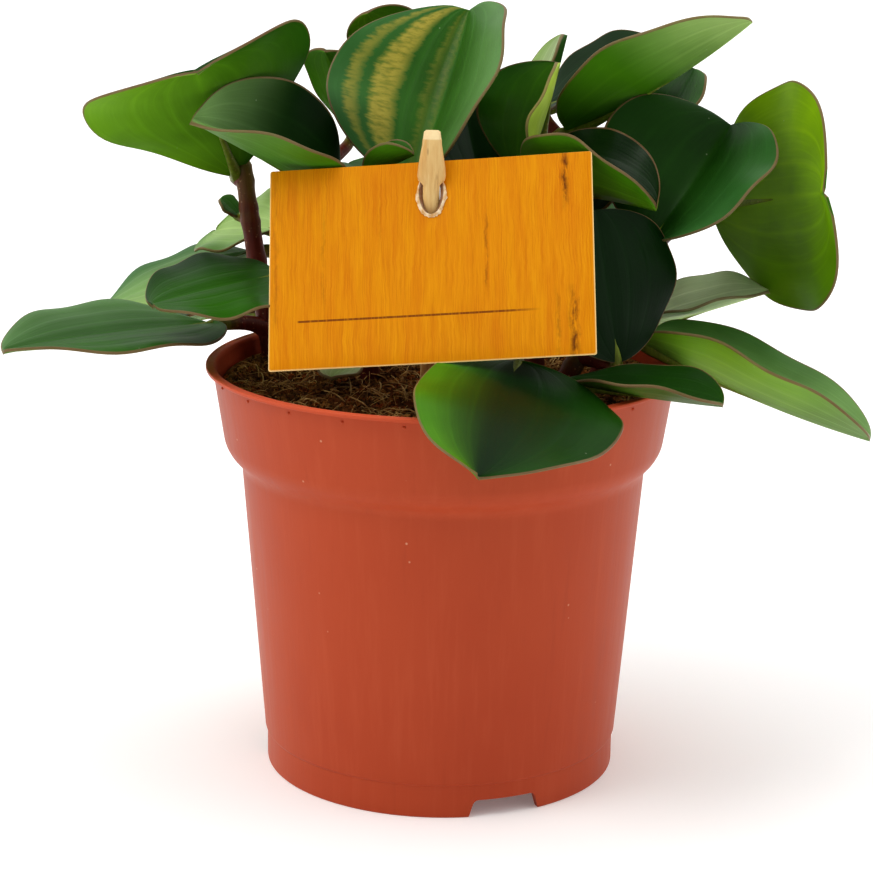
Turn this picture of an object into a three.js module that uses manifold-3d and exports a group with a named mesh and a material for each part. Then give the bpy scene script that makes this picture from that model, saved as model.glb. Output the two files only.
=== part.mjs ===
// Potted peperomia: a plastic nursery pot with soil, fleshy stems that carry one leaf on each
// petiole, and a wood-print card held by a carved wooden stake.
// Millimetres, +Z up. The origin is on the ground under the pot's centre, and the card faces -Y.

import * as THREE from "three";
import { mergeVertices } from "three/addons/utils/BufferGeometryUtils.js";
import Module from "manifold-3d";

const wasm = await Module();
wasm.setup();

// ---------------------------------------------------------------- driving dimensions

const CLEARANCE = 0.3; // gap between two pieces that touch

// Pot: radii and heights of its outer side
const RIM = { radius: 65, z: 113.3, thickness: 1.1, inner: 62.6 };
const COLLAR = { top: 63.1, bottom: 60, z: 92 };
const BODY = { top: 55.3, topZ: 84.9, bottom: 49.2, bottomZ: 9.6 };
const STEP = { lower: [0.9, 1.8], upper: [1.4, 2.8], inside: [0.5, 0.4] }; // slopes of the step
const FOOT = { radius: 48.6, inner: 46.2, step: 0.6 };
const FLOOR = { under: 7.6, top: 9.2 };
const WALL = 1.1;
const POT_SIDES = 64;
const NOTCH = { count: 3, first: -68.5, width: 20.2, height: 4.8, corner: 1.6, slope: 1, ease: 0.2, depth: 8 };
const DRAIN = { count: 6, radius: 3.5, circle: 33, centre: 5, cut: 6, sides: 12 };

// Soil
const SOIL = { edge: 105, mound: 3, lumps: 0.6, bank: 4, bankFrom: 0.72, rings: 6, sides: 40 };
const LUMPS = { alongX: [0.19, 1.1], alongY: [0.23, -0.4] }; // radians for each mm, and start

// Card and stake
const CARD = { width: 85, height: 55, thickness: 0.6, centre: [-4, -30.1, 146.7] };
const CARD_TURN = { yaw: -10.3, lean: -29.1, roll: -6.3 };
const CARD_HOLE = { halfWidth: 3.4, halfHeight: 6.4, x: 0.4, z: 19.1, cut: 4, sides: 16 };
const STAKE = { lean: -2, bury: 11, taper: 8, point: [1.4, 1], shaft: [2.4, 1.5], sides: 12 };
// Neck, shoulders and head: distance above the card's hole, half width and half depth
const STAKE_HEAD = [
  [-9, 2.4, 1.5],
  [0, 2.3, 1.3],
  [1.7, 2.3, 1.3],
  [3.2, 3.8, 1.3],
  [9.4, 3.1, 2],
  [14.4, 2.3, 1.7],
  [16, 1.5, 0.9],
];

// Stems: control points of each one's curve, and radii at the soil and at the tip
const STEM_RADIUS = { bottom: 3.0, top: 2.4 };
const STEM_SIDES = 8;
const STEM_STEPS = 8;
const STEMS = {
  left: [[-47, 26, 94], [-50, 28, 118], [-55, 29, 142], [-57, 30, 162]],
  centre_left: [[-20, 6, 94], [-22, 6, 120], [-21, 5, 145], [-24, 6, 160]],
  centre: [[4, 16, 94], [7, 15, 120], [12, 14, 140], [17, 10, 160]],
  right: [[24, 4, 94], [25, 6, 120], [24, 8, 145], [26, 12, 166]],
  far_right: [[42, 8, 94], [43, 8, 115], [46, 8, 128], [52, 8, 142]],
  front: [[6, -16, 94], [7, -18, 104], [11, -22, 112], [17, -27, 118]],
  front_right: [[22, -22, 94], [25, -22, 104], [31, -21, 112], [37, -19, 122]],
  back_left: [[-30, 34, 94], [-34, 38, 115], [-38, 44, 138], [-36, 48, 160]],
  back: [[-4, 42, 94], [-5, 44, 120], [-7, 46, 145], [-9, 50, 168]],
  back_right: [[32, 36, 94], [34, 38, 118], [37, 41, 142], [38, 42, 165]],
};

// Leaves: one on each petiole. Columns: name, stem, place along the stem (0 to 1), blade base,
// blade tip, roll, bend (degrees), width (mm), fold at the midrib (degrees), curl towards the
// margins (degrees), how far the tip stands out (+) or is notched (-) in mm, how the outline
// closes at the base and at the tip (0.5 round to 1 wedge-shaped), and by what share the half on
// the right of the way it points is wider than the middle width.
const LEAVES = [
  // left side
  ["upper_left", "left", 0.93, [-59, 31, 159], [-66, -15, 194], 27, 10, 66, 6, 16, -1.5, 1.2, 0.5, 0],
  ["small_left", "left", 0.75, [-59, 34, 147], [-64, 34, 152], -20, 0, 9, 10, 0, 0, 0.7, 0.5, 0],
  ["low_left", "left", 0.3, [-65, 13, 120], [-115, -30, 121.5], -4, 6, 48, 8, -6, 0, 0.5, 0.7, 0],
  ["broad_left", "back_left", 0.5, [-56, 48, 134], [-98, 38, 119], -6, 8, 48, 2, -8, 0, 0.6, 0.75, 0],
  ["pale_left", "back_left", 0.75, [-49, 48, 141], [-67.5, 60, 138], -20, 8, 38, 6, 6, 0, 0.7, 0.5, 0],
  ["middle_left", "centre_left", 0.45, [-45, -4, 137.5], [-78, -20, 132], -8, 5, 46, 2, 0, -1, 0.35, 0.55, 0],
  ["cup_left", "centre_left", 0.75, [-29.5, 11.8, 156], [-66, -13.2, 180], -33, 0, 46, 30, 34, 1, 0.5, 0.6, 0],
  ["soil_small", "centre_left", 0.25, [-25, -3, 114], [-30, -15, 112], 0, 0, 12, 5, 0, 0, 0.8, 0.5, 0],
  // centre
  ["striped", "centre_left", 0.8, [-9, 2, 162], [6, 36, 206.5], -12, -8, 65, 28, 6, -1.5, 0.6, 0.6, 0],
  ["small_centre", "centre_left", 0.99, [-22, -4, 165], [-9, -10, 172], 0, 0, 13, 50, 10, 0, 0.7, 0.6, 0],
  ["dark_centre", "centre", 0.55, [9, 16, 160], [4, 38, 181], -7, 0, 34, 15, 10, 0, 0.7, 0.5, 0],
  ["cup_centre", "centre", 0.93, [20.5, 9, 163.5], [29.5, 10, 194], 32, -10, 37, 35, 35, 0, 0.7, 0.6, 0],
  ["grey_centre", "centre", 0.8, [25, 32, 168], [32, 36, 198], -18, 0, 23, 20, 10, 1, 0.8, 0.5, 0],
  ["curled_back", "back", 0.93, [-7, 62, 179], [-23, 42, 204], 40, 10, 22, 8, 8, 0, 0.8, 0.5, 0],
  ["pale_back", "back_left", 0.95, [-28, 60, 168], [-34.5, 38, 193.5], 0, 10, 19, 10, 10, 0, 0.8, 0.5, 0],
  // right side
  ["long_right", "right", 0.93, [33, 25, 173.5], [79, 2, 206], 4, -16, 42, 32, 10, 1, 0.55, 0.6, 0.15],
  ["behind_right", "back_right", 0.95, [29, 51, 177], [60, 48, 195], 14, -10, 36, 15, 10, 0, 0.5, 0.5, 0],
  ["cup_right", "right", 0.7, [24.4, 5.8, 161], [55.2, -14.4, 158.8], 9, 6, 44, 44, 18, 0, 0.32, 0.5, 0.14],
  ["inner_right", "right", 0.45, [35, 18, 150], [44, 30, 168], 0, 0, 28, 12, 8, 0, 0.5, 0.5, 0],
  ["broad_right", "far_right", 0.93, [55, -5.7, 148], [77.8, 15.6, 177.6], 18, 4, 56, 26, 8, -1, 0.55, 0.45, 0],
  ["hanging_right", "far_right", 0.8, [75, 34, 151.5], [98.8, -18, 164], -88, 14, 62, 4, 6, -1.5, 0.52, 0.32, 0],
  ["dark_right", "front_right", 0.93, [45.5, -26.5, 119.8], [38.7, -19.6, 159], -14, 0, 47, 0, -10, 0, 0.7, 0.5, 0],
  ["pale_right", "far_right", 0.35, [54, 19, 119], [88, 11, 132], 5, 0, 37, 14, 10, 1, 0.5, 0.7, 0],
  ["low_right", "far_right", 0.25, [54, -4.5, 120.6], [113.6, -22, 99], -2, -14, 44, 30, 8, 0, 0.32, 0.5, 0.1],
  ["low_small_right", "front_right", 0.6, [31, -32.2, 116.2], [71, -47, 114], 0, -6, 28, 16, 14, 0, 0.8, 0.5, 0],
  ["front", "front", 0.9, [19, -33.5, 120.8], [8.5, -91.5, 106.9], -10, 25, 52.5, 0, -8, 1, 0.5, 0.65, -0.16],
  // back
  ["back_left_low", "back_left", 0.2, [-34, 56, 119], [-44, 89, 106], 0, 20, 44, 6, 6, 0, 0.7, 0.5, 0],
  ["back_left_side", "back_left", 0.3, [-54, 44, 118], [-90, 56, 106], 0, 24, 42, 6, 6, -1, 0.7, 0.5, 0],
  ["back_left_high", "back_left", 0.85, [-48, 62, 164], [-72, 80, 178], 0, 10, 48, 10, 8, 0, 0.7, 0.5, 0],
  ["back_middle_low", "back", 0.2, [-2, 62, 124], [4, 89, 110], 0, 25, 42, 6, 6, -1, 0.7, 0.5, 0],
  ["back_middle", "back", 0.55, [-16, 66, 148], [-30, 89, 154], 0, 15, 46, 10, 8, 0, 0.7, 0.5, 0],
  ["back_high", "back", 0.8, [8, 66, 166], [22, 87, 172], 0, 15, 42, 10, 8, 0, 0.7, 0.5, 0],
  ["back_right_low", "back_right", 0.2, [38, 58, 119], [48, 89, 106], 0, 20, 44, 6, 6, 0, 0.7, 0.5, 0],
  ["back_right_side", "back_right", 0.3, [58, 42, 117], [88, 58, 102], 0, 30, 40, 6, 6, -1, 0.7, 0.5, 0],
  ["back_right_middle", "back_right", 0.6, [48, 58, 142], [68, 86, 146], 0, 15, 46, 10, 8, 0, 0.7, 0.5, 0],
  ["back_right_high", "back_right", 0.9, [58, 52, 164], [71, 64, 186], 0, 5, 26, 15, 8, 1, 0.8, 0.5, 0],
];

// Blade and petiole
const BLADE = { middle: 1.2, margin: 0.8, rows: 7, columns: 4 };
const PETIOLE = { root: 2.3, end: 1.9, follow: 0.5, ease: 0.35, sides: 6, steps: 4 };
// The petiole's rib under the blade: place along the blade, radius and depth of its middle
const RIB = [
  [0.02, 1.8, 0.9],
  [0.12, 1.5, 1],
  [0.26, 0.9, 0.7],
];

const DEGREE = Math.PI / 180;

// ---------------------------------------------------------------- geometry helpers

const vector = ([x, y, z]) => new THREE.Vector3(x, y, z);

const mixed = (a, shareA, b, shareB) => a.clone().multiplyScalar(shareA).addScaledVector(b, shareB);

// A closed skin from rings of points, one ring after another, with a fan over each end.
function loft(rings) {
  const sides = rings[0].length;
  const points = rings.flat();
  const faces = [];
  for (let ring = 0; ring < rings.length - 1; ring += 1) {
    for (let side = 0; side < sides; side += 1) {
      const next = (side + 1) % sides;
      const a = ring * sides + side;
      const b = ring * sides + next;
      faces.push(a, b, b + sides, a, b + sides, a + sides);
    }
  }
  const ends = [rings[0], rings[rings.length - 1]];
  ends.forEach((ring, end) => {
    const middle = ring.reduce((sum, p) => sum.add(p), new THREE.Vector3()).divideScalar(sides);
    const hub = points.push(middle) - 1;
    const first = end * (rings.length - 1) * sides;
    for (let side = 0; side < sides; side += 1) {
      const a = first + side;
      const b = first + ((side + 1) % sides);
      faces.push(...(end ? [hub, a, b] : [hub, b, a]));
    }
  });
  const geometry = new THREE.BufferGeometry().setFromPoints(points);
  geometry.setIndex(faces);
  return geometry;
}

// A round tube through the given stations, each with a centre and a radius.
function tube(stations, sides) {
  const across = new THREE.Vector3(1, 0, 0);
  const rings = stations.map(({ centre, radius }, index) => {
    const before = stations[Math.max(index - 1, 0)].centre;
    const after = stations[Math.min(index + 1, stations.length - 1)].centre;
    const along = after.clone().sub(before).normalize();
    across.addScaledVector(along, -across.dot(along)).normalize();
    const other = along.clone().cross(across);
    return Array.from({ length: sides }, (_, side) => {
      const angle = (2 * Math.PI * side) / sides;
      return centre.clone()
        .addScaledVector(across, radius * Math.cos(angle))
        .addScaledVector(other, radius * Math.sin(angle));
    });
  });
  return loft(rings);
}

// A solid for joining and cutting, from a closed geometry.
function solid(geometry) {
  const bare = geometry.clone();
  bare.deleteAttribute("normal");
  bare.deleteAttribute("uv");
  const merged = mergeVertices(bare, 1e-4);
  const index = merged.index.array;
  const faces = [];
  for (let i = 0; i < index.length; i += 3) {
    const [a, b, c] = index.slice(i, i + 3);
    if (a !== b && b !== c && c !== a) {
      faces.push(a, b, c);
    }
  }
  return new wasm.Manifold(new wasm.Mesh({
    numProp: 3,
    vertProperties: merged.attributes.position.array,
    triVerts: Uint32Array.from(faces),
  }));
}

function fromSolid(shape) {
  const { vertProperties, triVerts } = shape.getMesh();
  const geometry = new THREE.BufferGeometry();
  geometry.setAttribute("position", new THREE.BufferAttribute(vertProperties, 3));
  geometry.setIndex(new THREE.BufferAttribute(triVerts, 1));
  return geometry;
}

// A part turned about the Z axis from a profile of [radius, height] points.
function turned(profile, sides) {
  const points = profile.map(([radius, z]) => new THREE.Vector2(radius, z));
  return new THREE.LatheGeometry(points, sides).rotateX(Math.PI / 2);
}

// ---------------------------------------------------------------- pot and soil

function potGeometry() {
  const profile = [
    [0, FLOOR.under],
    [FOOT.inner, FLOOR.under],
    [FOOT.inner, 0],
    [FOOT.radius, 0],
    [BODY.bottom - FOOT.step, BODY.bottomZ - FOOT.step],
    [BODY.bottom, BODY.bottomZ],
    [BODY.top, BODY.topZ],
    [BODY.top + STEP.lower[0], BODY.topZ + STEP.lower[1]],
    [COLLAR.bottom - STEP.upper[0], COLLAR.z - STEP.upper[1]],
    [COLLAR.bottom, COLLAR.z],
    [COLLAR.top, RIM.z - RIM.thickness],
    [RIM.radius, RIM.z - RIM.thickness],
    [RIM.radius, RIM.z],
    [RIM.inner, RIM.z],
    [COLLAR.top - WALL, RIM.z - RIM.thickness],
    [COLLAR.bottom - WALL, COLLAR.z + STEP.inside[1]],
    [BODY.top - WALL, BODY.topZ + STEP.inside[0]],
    [BODY.bottom - WALL, FLOOR.top],
    [0, FLOOR.top],
  ];
  let pot = solid(turned(profile, POT_SIDES));
  for (let index = 0; index < NOTCH.count; index += 1) {
    const angle = (NOTCH.first + (360 * index) / NOTCH.count) * DEGREE;
    pot = pot.subtract(solid(notchCutter(angle)));
  }
  for (let index = 0; index < DRAIN.count; index += 1) {
    const angle = (2 * Math.PI * index) / DRAIN.count;
    const x = DRAIN.circle * Math.cos(angle);
    const y = DRAIN.circle * Math.sin(angle);
    pot = pot.subtract(solid(drainCutter(DRAIN.radius, x, y)));
  }
  pot = pot.subtract(solid(drainCutter(DRAIN.centre, 0, 0)));
  return fromSolid(pot);
}

// A rounded trapezium that cuts a drainage notch through the foot.
function notchCutter(angle) {
  const half = NOTCH.width / 2;
  const { height, corner, slope, ease, depth } = NOTCH;
  const outline = new THREE.Shape();
  outline.moveTo(-half, -1);
  outline.lineTo(half, -1);
  outline.lineTo(half, 0);
  outline.lineTo(half - slope, height - corner);
  outline.quadraticCurveTo(half - slope - ease, height, half - slope - corner, height);
  outline.lineTo(corner + slope - half, height);
  outline.quadraticCurveTo(slope + ease - half, height, slope - half, height - corner);
  outline.lineTo(-half, 0);
  const cutter = new THREE.ExtrudeGeometry(outline, { depth, bevelEnabled: false, curveSegments: 3 });
  cutter.rotateX(Math.PI / 2);
  cutter.translate(0, depth / 2 - FOOT.radius, 0);
  return cutter.rotateZ(angle + Math.PI / 2);
}

function drainCutter(radius, x, y) {
  const cutter = new THREE.CylinderGeometry(radius, radius, DRAIN.cut, DRAIN.sides).rotateX(Math.PI / 2);
  return cutter.translate(x, y, (FLOOR.under + FLOOR.top) / 2);
}

// Height of the soil's top: a low mound with gentle lumps and a bank against the wall.
function soilHeight(x, y, edge) {
  const radius = Math.hypot(x, y) / edge;
  const [rateX, startX] = LUMPS.alongX;
  const [rateY, startY] = LUMPS.alongY;
  const lumps = Math.sin(rateX * x + startX) * Math.cos(rateY * y + startY);
  const bank = Math.max(radius - SOIL.bankFrom, 0) / (1 - SOIL.bankFrom);
  return SOIL.edge + SOIL.mound * (1 - radius * radius) + SOIL.lumps * lumps + SOIL.bank * bank * bank;
}

function soilGeometry(stemSolids, stakeHole) {
  const inside = (radius) => radius - WALL - CLEARANCE;
  const taper = (COLLAR.top - COLLAR.bottom) / (RIM.z - COLLAR.z);
  const top = inside(COLLAR.top) - (RIM.z - SOIL.edge) * taper;
  const levels = [
    [inside(BODY.bottom), FLOOR.top + CLEARANCE],
    [inside(BODY.top), BODY.topZ + STEP.inside[0]],
    [inside(COLLAR.bottom), COLLAR.z + STEP.inside[1]],
  ];
  const ring = (radius, height) => Array.from({ length: SOIL.sides }, (_, side) => {
    const angle = (2 * Math.PI * side) / SOIL.sides;
    const x = radius * Math.cos(angle);
    const y = radius * Math.sin(angle);
    return new THREE.Vector3(x, y, height ?? soilHeight(x, y, top));
  });
  const rings = levels.map(([radius, z]) => ring(radius, z));
  for (let index = 0; index < SOIL.rings; index += 1) {
    rings.push(ring(top * (1 - index / SOIL.rings)));
  }
  let soil = solid(loft(rings));
  for (const cutter of [...stemSolids, stakeHole]) {
    soil = soil.subtract(cutter);
  }
  return fromSolid(soil);
}

// ---------------------------------------------------------------- stems

function stemCurve(name) {
  return new THREE.CubicBezierCurve3(...STEMS[name].map(vector));
}

function stemGeometry(name, extra = 0) {
  const curve = stemCurve(name);
  const stations = [];
  for (let step = 0; step <= STEM_STEPS; step += 1) {
    const t = step / STEM_STEPS;
    const radius = STEM_RADIUS.bottom + (STEM_RADIUS.top - STEM_RADIUS.bottom) * t + extra;
    stations.push({ centre: curve.getPoint(t), radius });
  }
  const tip = stations[STEM_STEPS];
  const beyond = curve.getTangent(1).multiplyScalar(STEM_RADIUS.top * 0.8 + extra).add(tip.centre);
  stations.push({ centre: beyond, radius: tip.radius * 0.5 });
  stations[0].centre.z -= extra;
  return tube(stations, STEM_SIDES);
}

// ---------------------------------------------------------------- leaves

// The middle surface of a leaf's blade: point and normal at t (0 base, 1 tip) and at d, the
// distance from the midrib along the blade, positive to the right of the way it points.
function bladeSurface(leaf) {
  const [, , , base, tip, roll, bend, width, fold, curl, point, taper, round, skew] = leaf;
  const start = vector(base);
  const chord = vector(tip).sub(start);
  const reach = chord.length();
  const along = chord.clone().normalize();
  const up = new THREE.Vector3(0, 0, 1).addScaledVector(along, -along.z).normalize();
  const side = along.clone().cross(up);
  const turn = roll * DEGREE;
  const normal = mixed(up, Math.cos(turn), side, Math.sin(turn));
  side.multiplyScalar(Math.cos(turn)).addScaledVector(up, -Math.sin(turn));
  const arc = (bend || 0.01) * DEGREE;
  const length = (reach * (arc / 2)) / Math.sin(arc / 2);
  const first = mixed(along, Math.cos(arc / 2), normal, Math.sin(arc / 2));
  const firstUp = mixed(normal, Math.cos(arc / 2), along, -Math.sin(arc / 2));
  const outline = (t) => t ** taper * (1 - t) ** round;
  const widest = taper / (taper + round);
  const halfWidth = (t, side) => ((width / 2) * outline(t) * (1 + skew * side)) / outline(widest);
  const rise = fold * DEGREE;
  const turnPerMm = ((curl || 0.01) * DEGREE) / (width / 2);

  function surface(t, d) {
    const stand = (point / length) * t ** 12 * Math.exp(-((d / 4) ** 2));
    const s = t + stand;
    const across = Math.abs(d);
    const angle = rise + turnPerMm * across;
    const out = ((Math.sin(angle) - Math.sin(rise)) / turnPerMm) * Math.sign(d);
    const lift = (Math.cos(rise) - Math.cos(angle)) / turnPerMm;
    const upHere = mixed(firstUp, Math.cos(arc * s), first, Math.sin(arc * s));
    const place = start.clone()
      .addScaledVector(first, (length / arc) * Math.sin(arc * s))
      .addScaledVector(firstUp, -(length / arc) * (1 - Math.cos(arc * s)))
      .addScaledVector(side, out)
      .addScaledVector(upHere, lift);
    const lean = d === 0 ? 0 : angle * Math.sign(d);
    const facing = mixed(upHere, Math.cos(lean), side, -Math.sin(lean));
    return { place, facing };
  }
  return { surface, halfWidth, first, length };
}

// A blade's two faces and its margin, split into triangles alike above and below.
function bladeGeometry(blade) {
  const { rows, columns } = BLADE;
  const points = [];
  const faces = [];
  const grid = [];
  const pair = (t, d, limit) => {
    const { place, facing } = blade.surface(t, d);
    const outward = Math.min(Math.abs(d) / limit, 1);
    const thickness = BLADE.middle + (BLADE.margin - BLADE.middle) * outward;
    const upper = points.push(place.clone().addScaledVector(facing, thickness / 2)) - 1;
    points.push(place.addScaledVector(facing, -thickness / 2));
    return upper;
  };
  for (let row = 0; row <= rows; row += 1) {
    const t = (1 - Math.cos((Math.PI * row) / rows)) / 2;
    const pointed = row === 0 || row === rows;
    const line = [];
    for (let column = 0; column <= columns; column += 1) {
      const q = Math.sin(((column / columns) * 2 - 1) * (Math.PI / 2));
      const half = blade.halfWidth(t, Math.sign(column - columns / 2));
      const d = pointed ? 0 : q * half;
      line.push(pointed && column > 0 ? line[0] : pair(t, d, Math.max(half, 1)));
    }
    grid.push(line);
  }
  const face = (a, b, c) => {
    if (a !== b && b !== c && c !== a) {
      faces.push(a, b, c, a + 1, c + 1, b + 1);
    }
  };
  const wall = (a, b) => faces.push(a, b, b + 1, a, b + 1, a + 1);
  for (let row = 0; row < rows; row += 1) {
    const here = grid[row];
    const next = grid[row + 1];
    for (let column = 0; column < columns; column += 1) {
      face(here[column], here[column + 1], next[column + 1]);
      face(here[column], next[column + 1], next[column]);
    }
    wall(here[0], next[0]);
    wall(next[columns], here[columns]);
  }
  const geometry = new THREE.BufferGeometry().setFromPoints(points);
  geometry.setIndex(faces);
  return geometry;
}

// The petiole leaves its stem, bends to the blade and runs out as a rib under it.
function petioleGeometry(leaf, blade) {
  const [, stem, at, base] = leaf;
  const curve = stemCurve(stem);
  const root = curve.getPoint(at);
  const end = vector(base);
  const reach = root.distanceTo(end);
  const away = end.clone().sub(root).normalize();
  away.addScaledVector(curve.getTangent(at), PETIOLE.follow).normalize();
  const path = new THREE.CubicBezierCurve3(
    root,
    root.clone().addScaledVector(away, reach * PETIOLE.ease),
    end.clone().addScaledVector(blade.first, -reach * PETIOLE.ease),
    end,
  );
  const stations = [];
  for (let step = 0; step < PETIOLE.steps; step += 1) {
    const t = step / PETIOLE.steps;
    const radius = PETIOLE.root + (PETIOLE.end - PETIOLE.root) * t;
    stations.push({ centre: path.getPoint(t), radius });
  }
  for (const [t, radius, sunk] of RIB) {
    const { place, facing } = blade.surface(t, 0);
    stations.push({ centre: place.addScaledVector(facing, -sunk), radius });
  }
  return tube(stations, PETIOLE.sides);
}

function leafGeometry(leaf, stemCutters) {
  const blade = bladeSurface(leaf);
  const joined = solid(bladeGeometry(blade)).add(solid(petioleGeometry(leaf, blade)));
  return fromSolid(joined.subtract(stemCutters[leaf[1]]));
}

// ---------------------------------------------------------------- card and stake

function cardTurn() {
  const { yaw, lean, roll } = CARD_TURN;
  return new THREE.Euler(lean * DEGREE, roll * DEGREE, yaw * DEGREE, "ZXY");
}

function cardGeometry() {
  const sheet = new THREE.BoxGeometry(CARD.width, CARD.thickness, CARD.height);
  const { halfWidth, halfHeight, cut, sides } = CARD_HOLE;
  const punch = new THREE.CylinderGeometry(halfWidth, halfWidth, cut, sides);
  punch.scale(1, 1, halfHeight / halfWidth);
  punch.translate(CARD_HOLE.x, 0, CARD_HOLE.z);
  return fromSolid(solid(sheet).subtract(solid(punch)));
}

// Where the stake goes through the card
function holeCentre() {
  return new THREE.Vector3(CARD_HOLE.x, 0, CARD_HOLE.z).applyEuler(cardTurn()).add(vector(CARD.centre));
}

function stakeGeometry(extra = 0) {
  const lean = STAKE.lean * DEGREE;
  const along = new THREE.Vector3(0, -Math.sin(lean), Math.cos(lean));
  const hole = holeCentre();
  const below = (hole.z - SOIL.edge + STAKE.bury) / along.z;
  const sections = [
    [-below - extra, ...STAKE.point],
    [-below + STAKE.taper, ...STAKE.shaft],
    ...STAKE_HEAD,
  ];
  const back = new THREE.Vector3(0, Math.cos(lean), Math.sin(lean));
  const ring = ([distance, half, depth]) => Array.from({ length: STAKE.sides }, (_, side) => {
    const angle = (2 * Math.PI * side) / STAKE.sides;
    const centre = hole.clone().addScaledVector(along, distance);
    centre.x += (half + extra) * Math.cos(angle);
    return centre.addScaledVector(back, (depth + extra) * Math.sin(angle));
  });
  return loft(sections.map(ring));
}

// ---------------------------------------------------------------- materials and assembly

function finish(name, color, roughness) {
  return new THREE.MeshStandardMaterial({ name, color, roughness, metalness: 0 });
}

const LEAF_GREEN = finish("leaf", 0x2f5a1c, 0.4);
const STEM_RED = finish("stem", 0x6b3a28, 0.5);
const TERRACOTTA = finish("pot_plastic", 0xb45a38, 0.45);
const PEAT = finish("soil", 0x2b1d14, 0.95);
const CARD_PRINT = finish("card", 0xe8981c, 0.55);
const PALE_WOOD = finish("stake_wood", 0xdfbb80, 0.65);

function piece(name, geometry, material) {
  const mesh = new THREE.Mesh(geometry, material);
  mesh.name = name;
  return mesh;
}

const names = Object.keys(STEMS);
const cutterOf = (name) => [name, solid(stemGeometry(name, CLEARANCE))];
const stemCutters = Object.fromEntries(names.map(cutterOf));

const plant = new THREE.Group();
for (const name of names) {
  plant.add(piece(`stem_${name}`, stemGeometry(name), STEM_RED));
}
for (const leaf of LEAVES) {
  plant.add(piece(`leaf_${leaf[0]}`, leafGeometry(leaf, stemCutters), LEAF_GREEN));
}

const label = new THREE.Group();
const card = piece("label_card", cardGeometry(), CARD_PRINT);
card.position.set(...CARD.centre);
card.rotation.copy(cardTurn());
label.add(card);
label.add(piece("label_stake", stakeGeometry(), PALE_WOOD));

const holder = new THREE.Group();
holder.add(piece("pot", potGeometry(), TERRACOTTA));
const soilBody = soilGeometry(Object.values(stemCutters), solid(stakeGeometry(CLEARANCE)));
holder.add(piece("soil", soilBody, PEAT));

const pottedPlant = new THREE.Group();
pottedPlant.add(holder, plant, label);

export default pottedPlant;
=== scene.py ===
# Potted peperomia: the looks of the pot, the peat, the stems, the leaves, the card and its stake.
# The tables and the shapes below are in millimetres and are turned into metres where a mesh is
# made. +Z is up, and the card faces -Y.

import math
import random

import bmesh
import bpy
from bpy.props import FloatProperty, FloatVectorProperty, IntProperty, PointerProperty
from mathutils import Euler, Matrix, Vector, noise


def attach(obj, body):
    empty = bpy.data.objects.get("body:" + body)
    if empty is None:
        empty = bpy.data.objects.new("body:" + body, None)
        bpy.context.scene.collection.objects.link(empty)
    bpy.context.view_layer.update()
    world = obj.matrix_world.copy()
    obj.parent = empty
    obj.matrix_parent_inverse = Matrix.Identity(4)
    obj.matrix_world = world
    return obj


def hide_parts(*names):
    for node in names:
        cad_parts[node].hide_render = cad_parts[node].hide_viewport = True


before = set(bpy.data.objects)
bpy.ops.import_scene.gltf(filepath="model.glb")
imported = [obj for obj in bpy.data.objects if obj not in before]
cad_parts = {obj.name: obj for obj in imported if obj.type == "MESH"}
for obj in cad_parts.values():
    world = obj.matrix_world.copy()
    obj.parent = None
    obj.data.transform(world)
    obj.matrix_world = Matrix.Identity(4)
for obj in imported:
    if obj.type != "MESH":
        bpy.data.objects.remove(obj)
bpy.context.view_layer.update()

bl_info = {
    "name": "Potted Peperomia",
    "version": (1, 0, 0),
    "blender": (4, 5, 0),
    "location": "3D View > Sidebar > Peperomia",
    "description": "Builds a peperomia in a nursery pot, with its card and stake",
    "category": "Add Mesh",
}

MM = 0.001


def srgb(red, green, blue):
    """The linear colour of screen values from 0 to 255."""
    def linear(value):
        share = value / 255
        return share / 12.92 if share <= 0.04045 else ((share + 0.055) / 1.055) ** 2.4
    return (linear(red), linear(green), linear(blue), 1.0)


def length(name, description, default):
    """A property that holds a length in metres."""
    return FloatProperty(name=name, description=description, default=default, unit="LENGTH")


def tint(name, description, screen):
    """A property that holds a colour, given in screen values."""
    return FloatVectorProperty(name=name, description=description, default=srgb(*screen), size=4,
                               subtype="COLOR", min=0, max=1)


# ------------------------------------------------------------------ measures of the plant

# Control points of each stem's curve
STEMS = {
    "left": ((-47, 26, 94), (-50, 28, 118), (-55, 29, 142), (-57, 30, 162)),
    "centre_left": ((-20, 6, 94), (-22, 6, 120), (-21, 5, 145), (-24, 6, 160)),
    "centre": ((4, 16, 94), (7, 15, 120), (12, 14, 140), (17, 10, 160)),
    "right": ((24, 4, 94), (25, 6, 120), (24, 8, 145), (26, 12, 166)),
    "far_right": ((42, 8, 94), (43, 8, 115), (46, 8, 128), (52, 8, 142)),
    "front": ((6, -16, 94), (7, -18, 104), (11, -22, 112), (17, -27, 118)),
    "front_right": ((22, -22, 94), (25, -22, 104), (31, -21, 112), (37, -19, 122)),
    "back_left": ((-30, 34, 94), (-34, 38, 115), (-38, 44, 138), (-36, 48, 160)),
    "back": ((-4, 42, 94), (-5, 44, 120), (-7, 46, 145), (-9, 50, 168)),
    "back_right": ((32, 36, 94), (34, 38, 118), (37, 41, 142), (38, 42, 165)),
}

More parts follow.
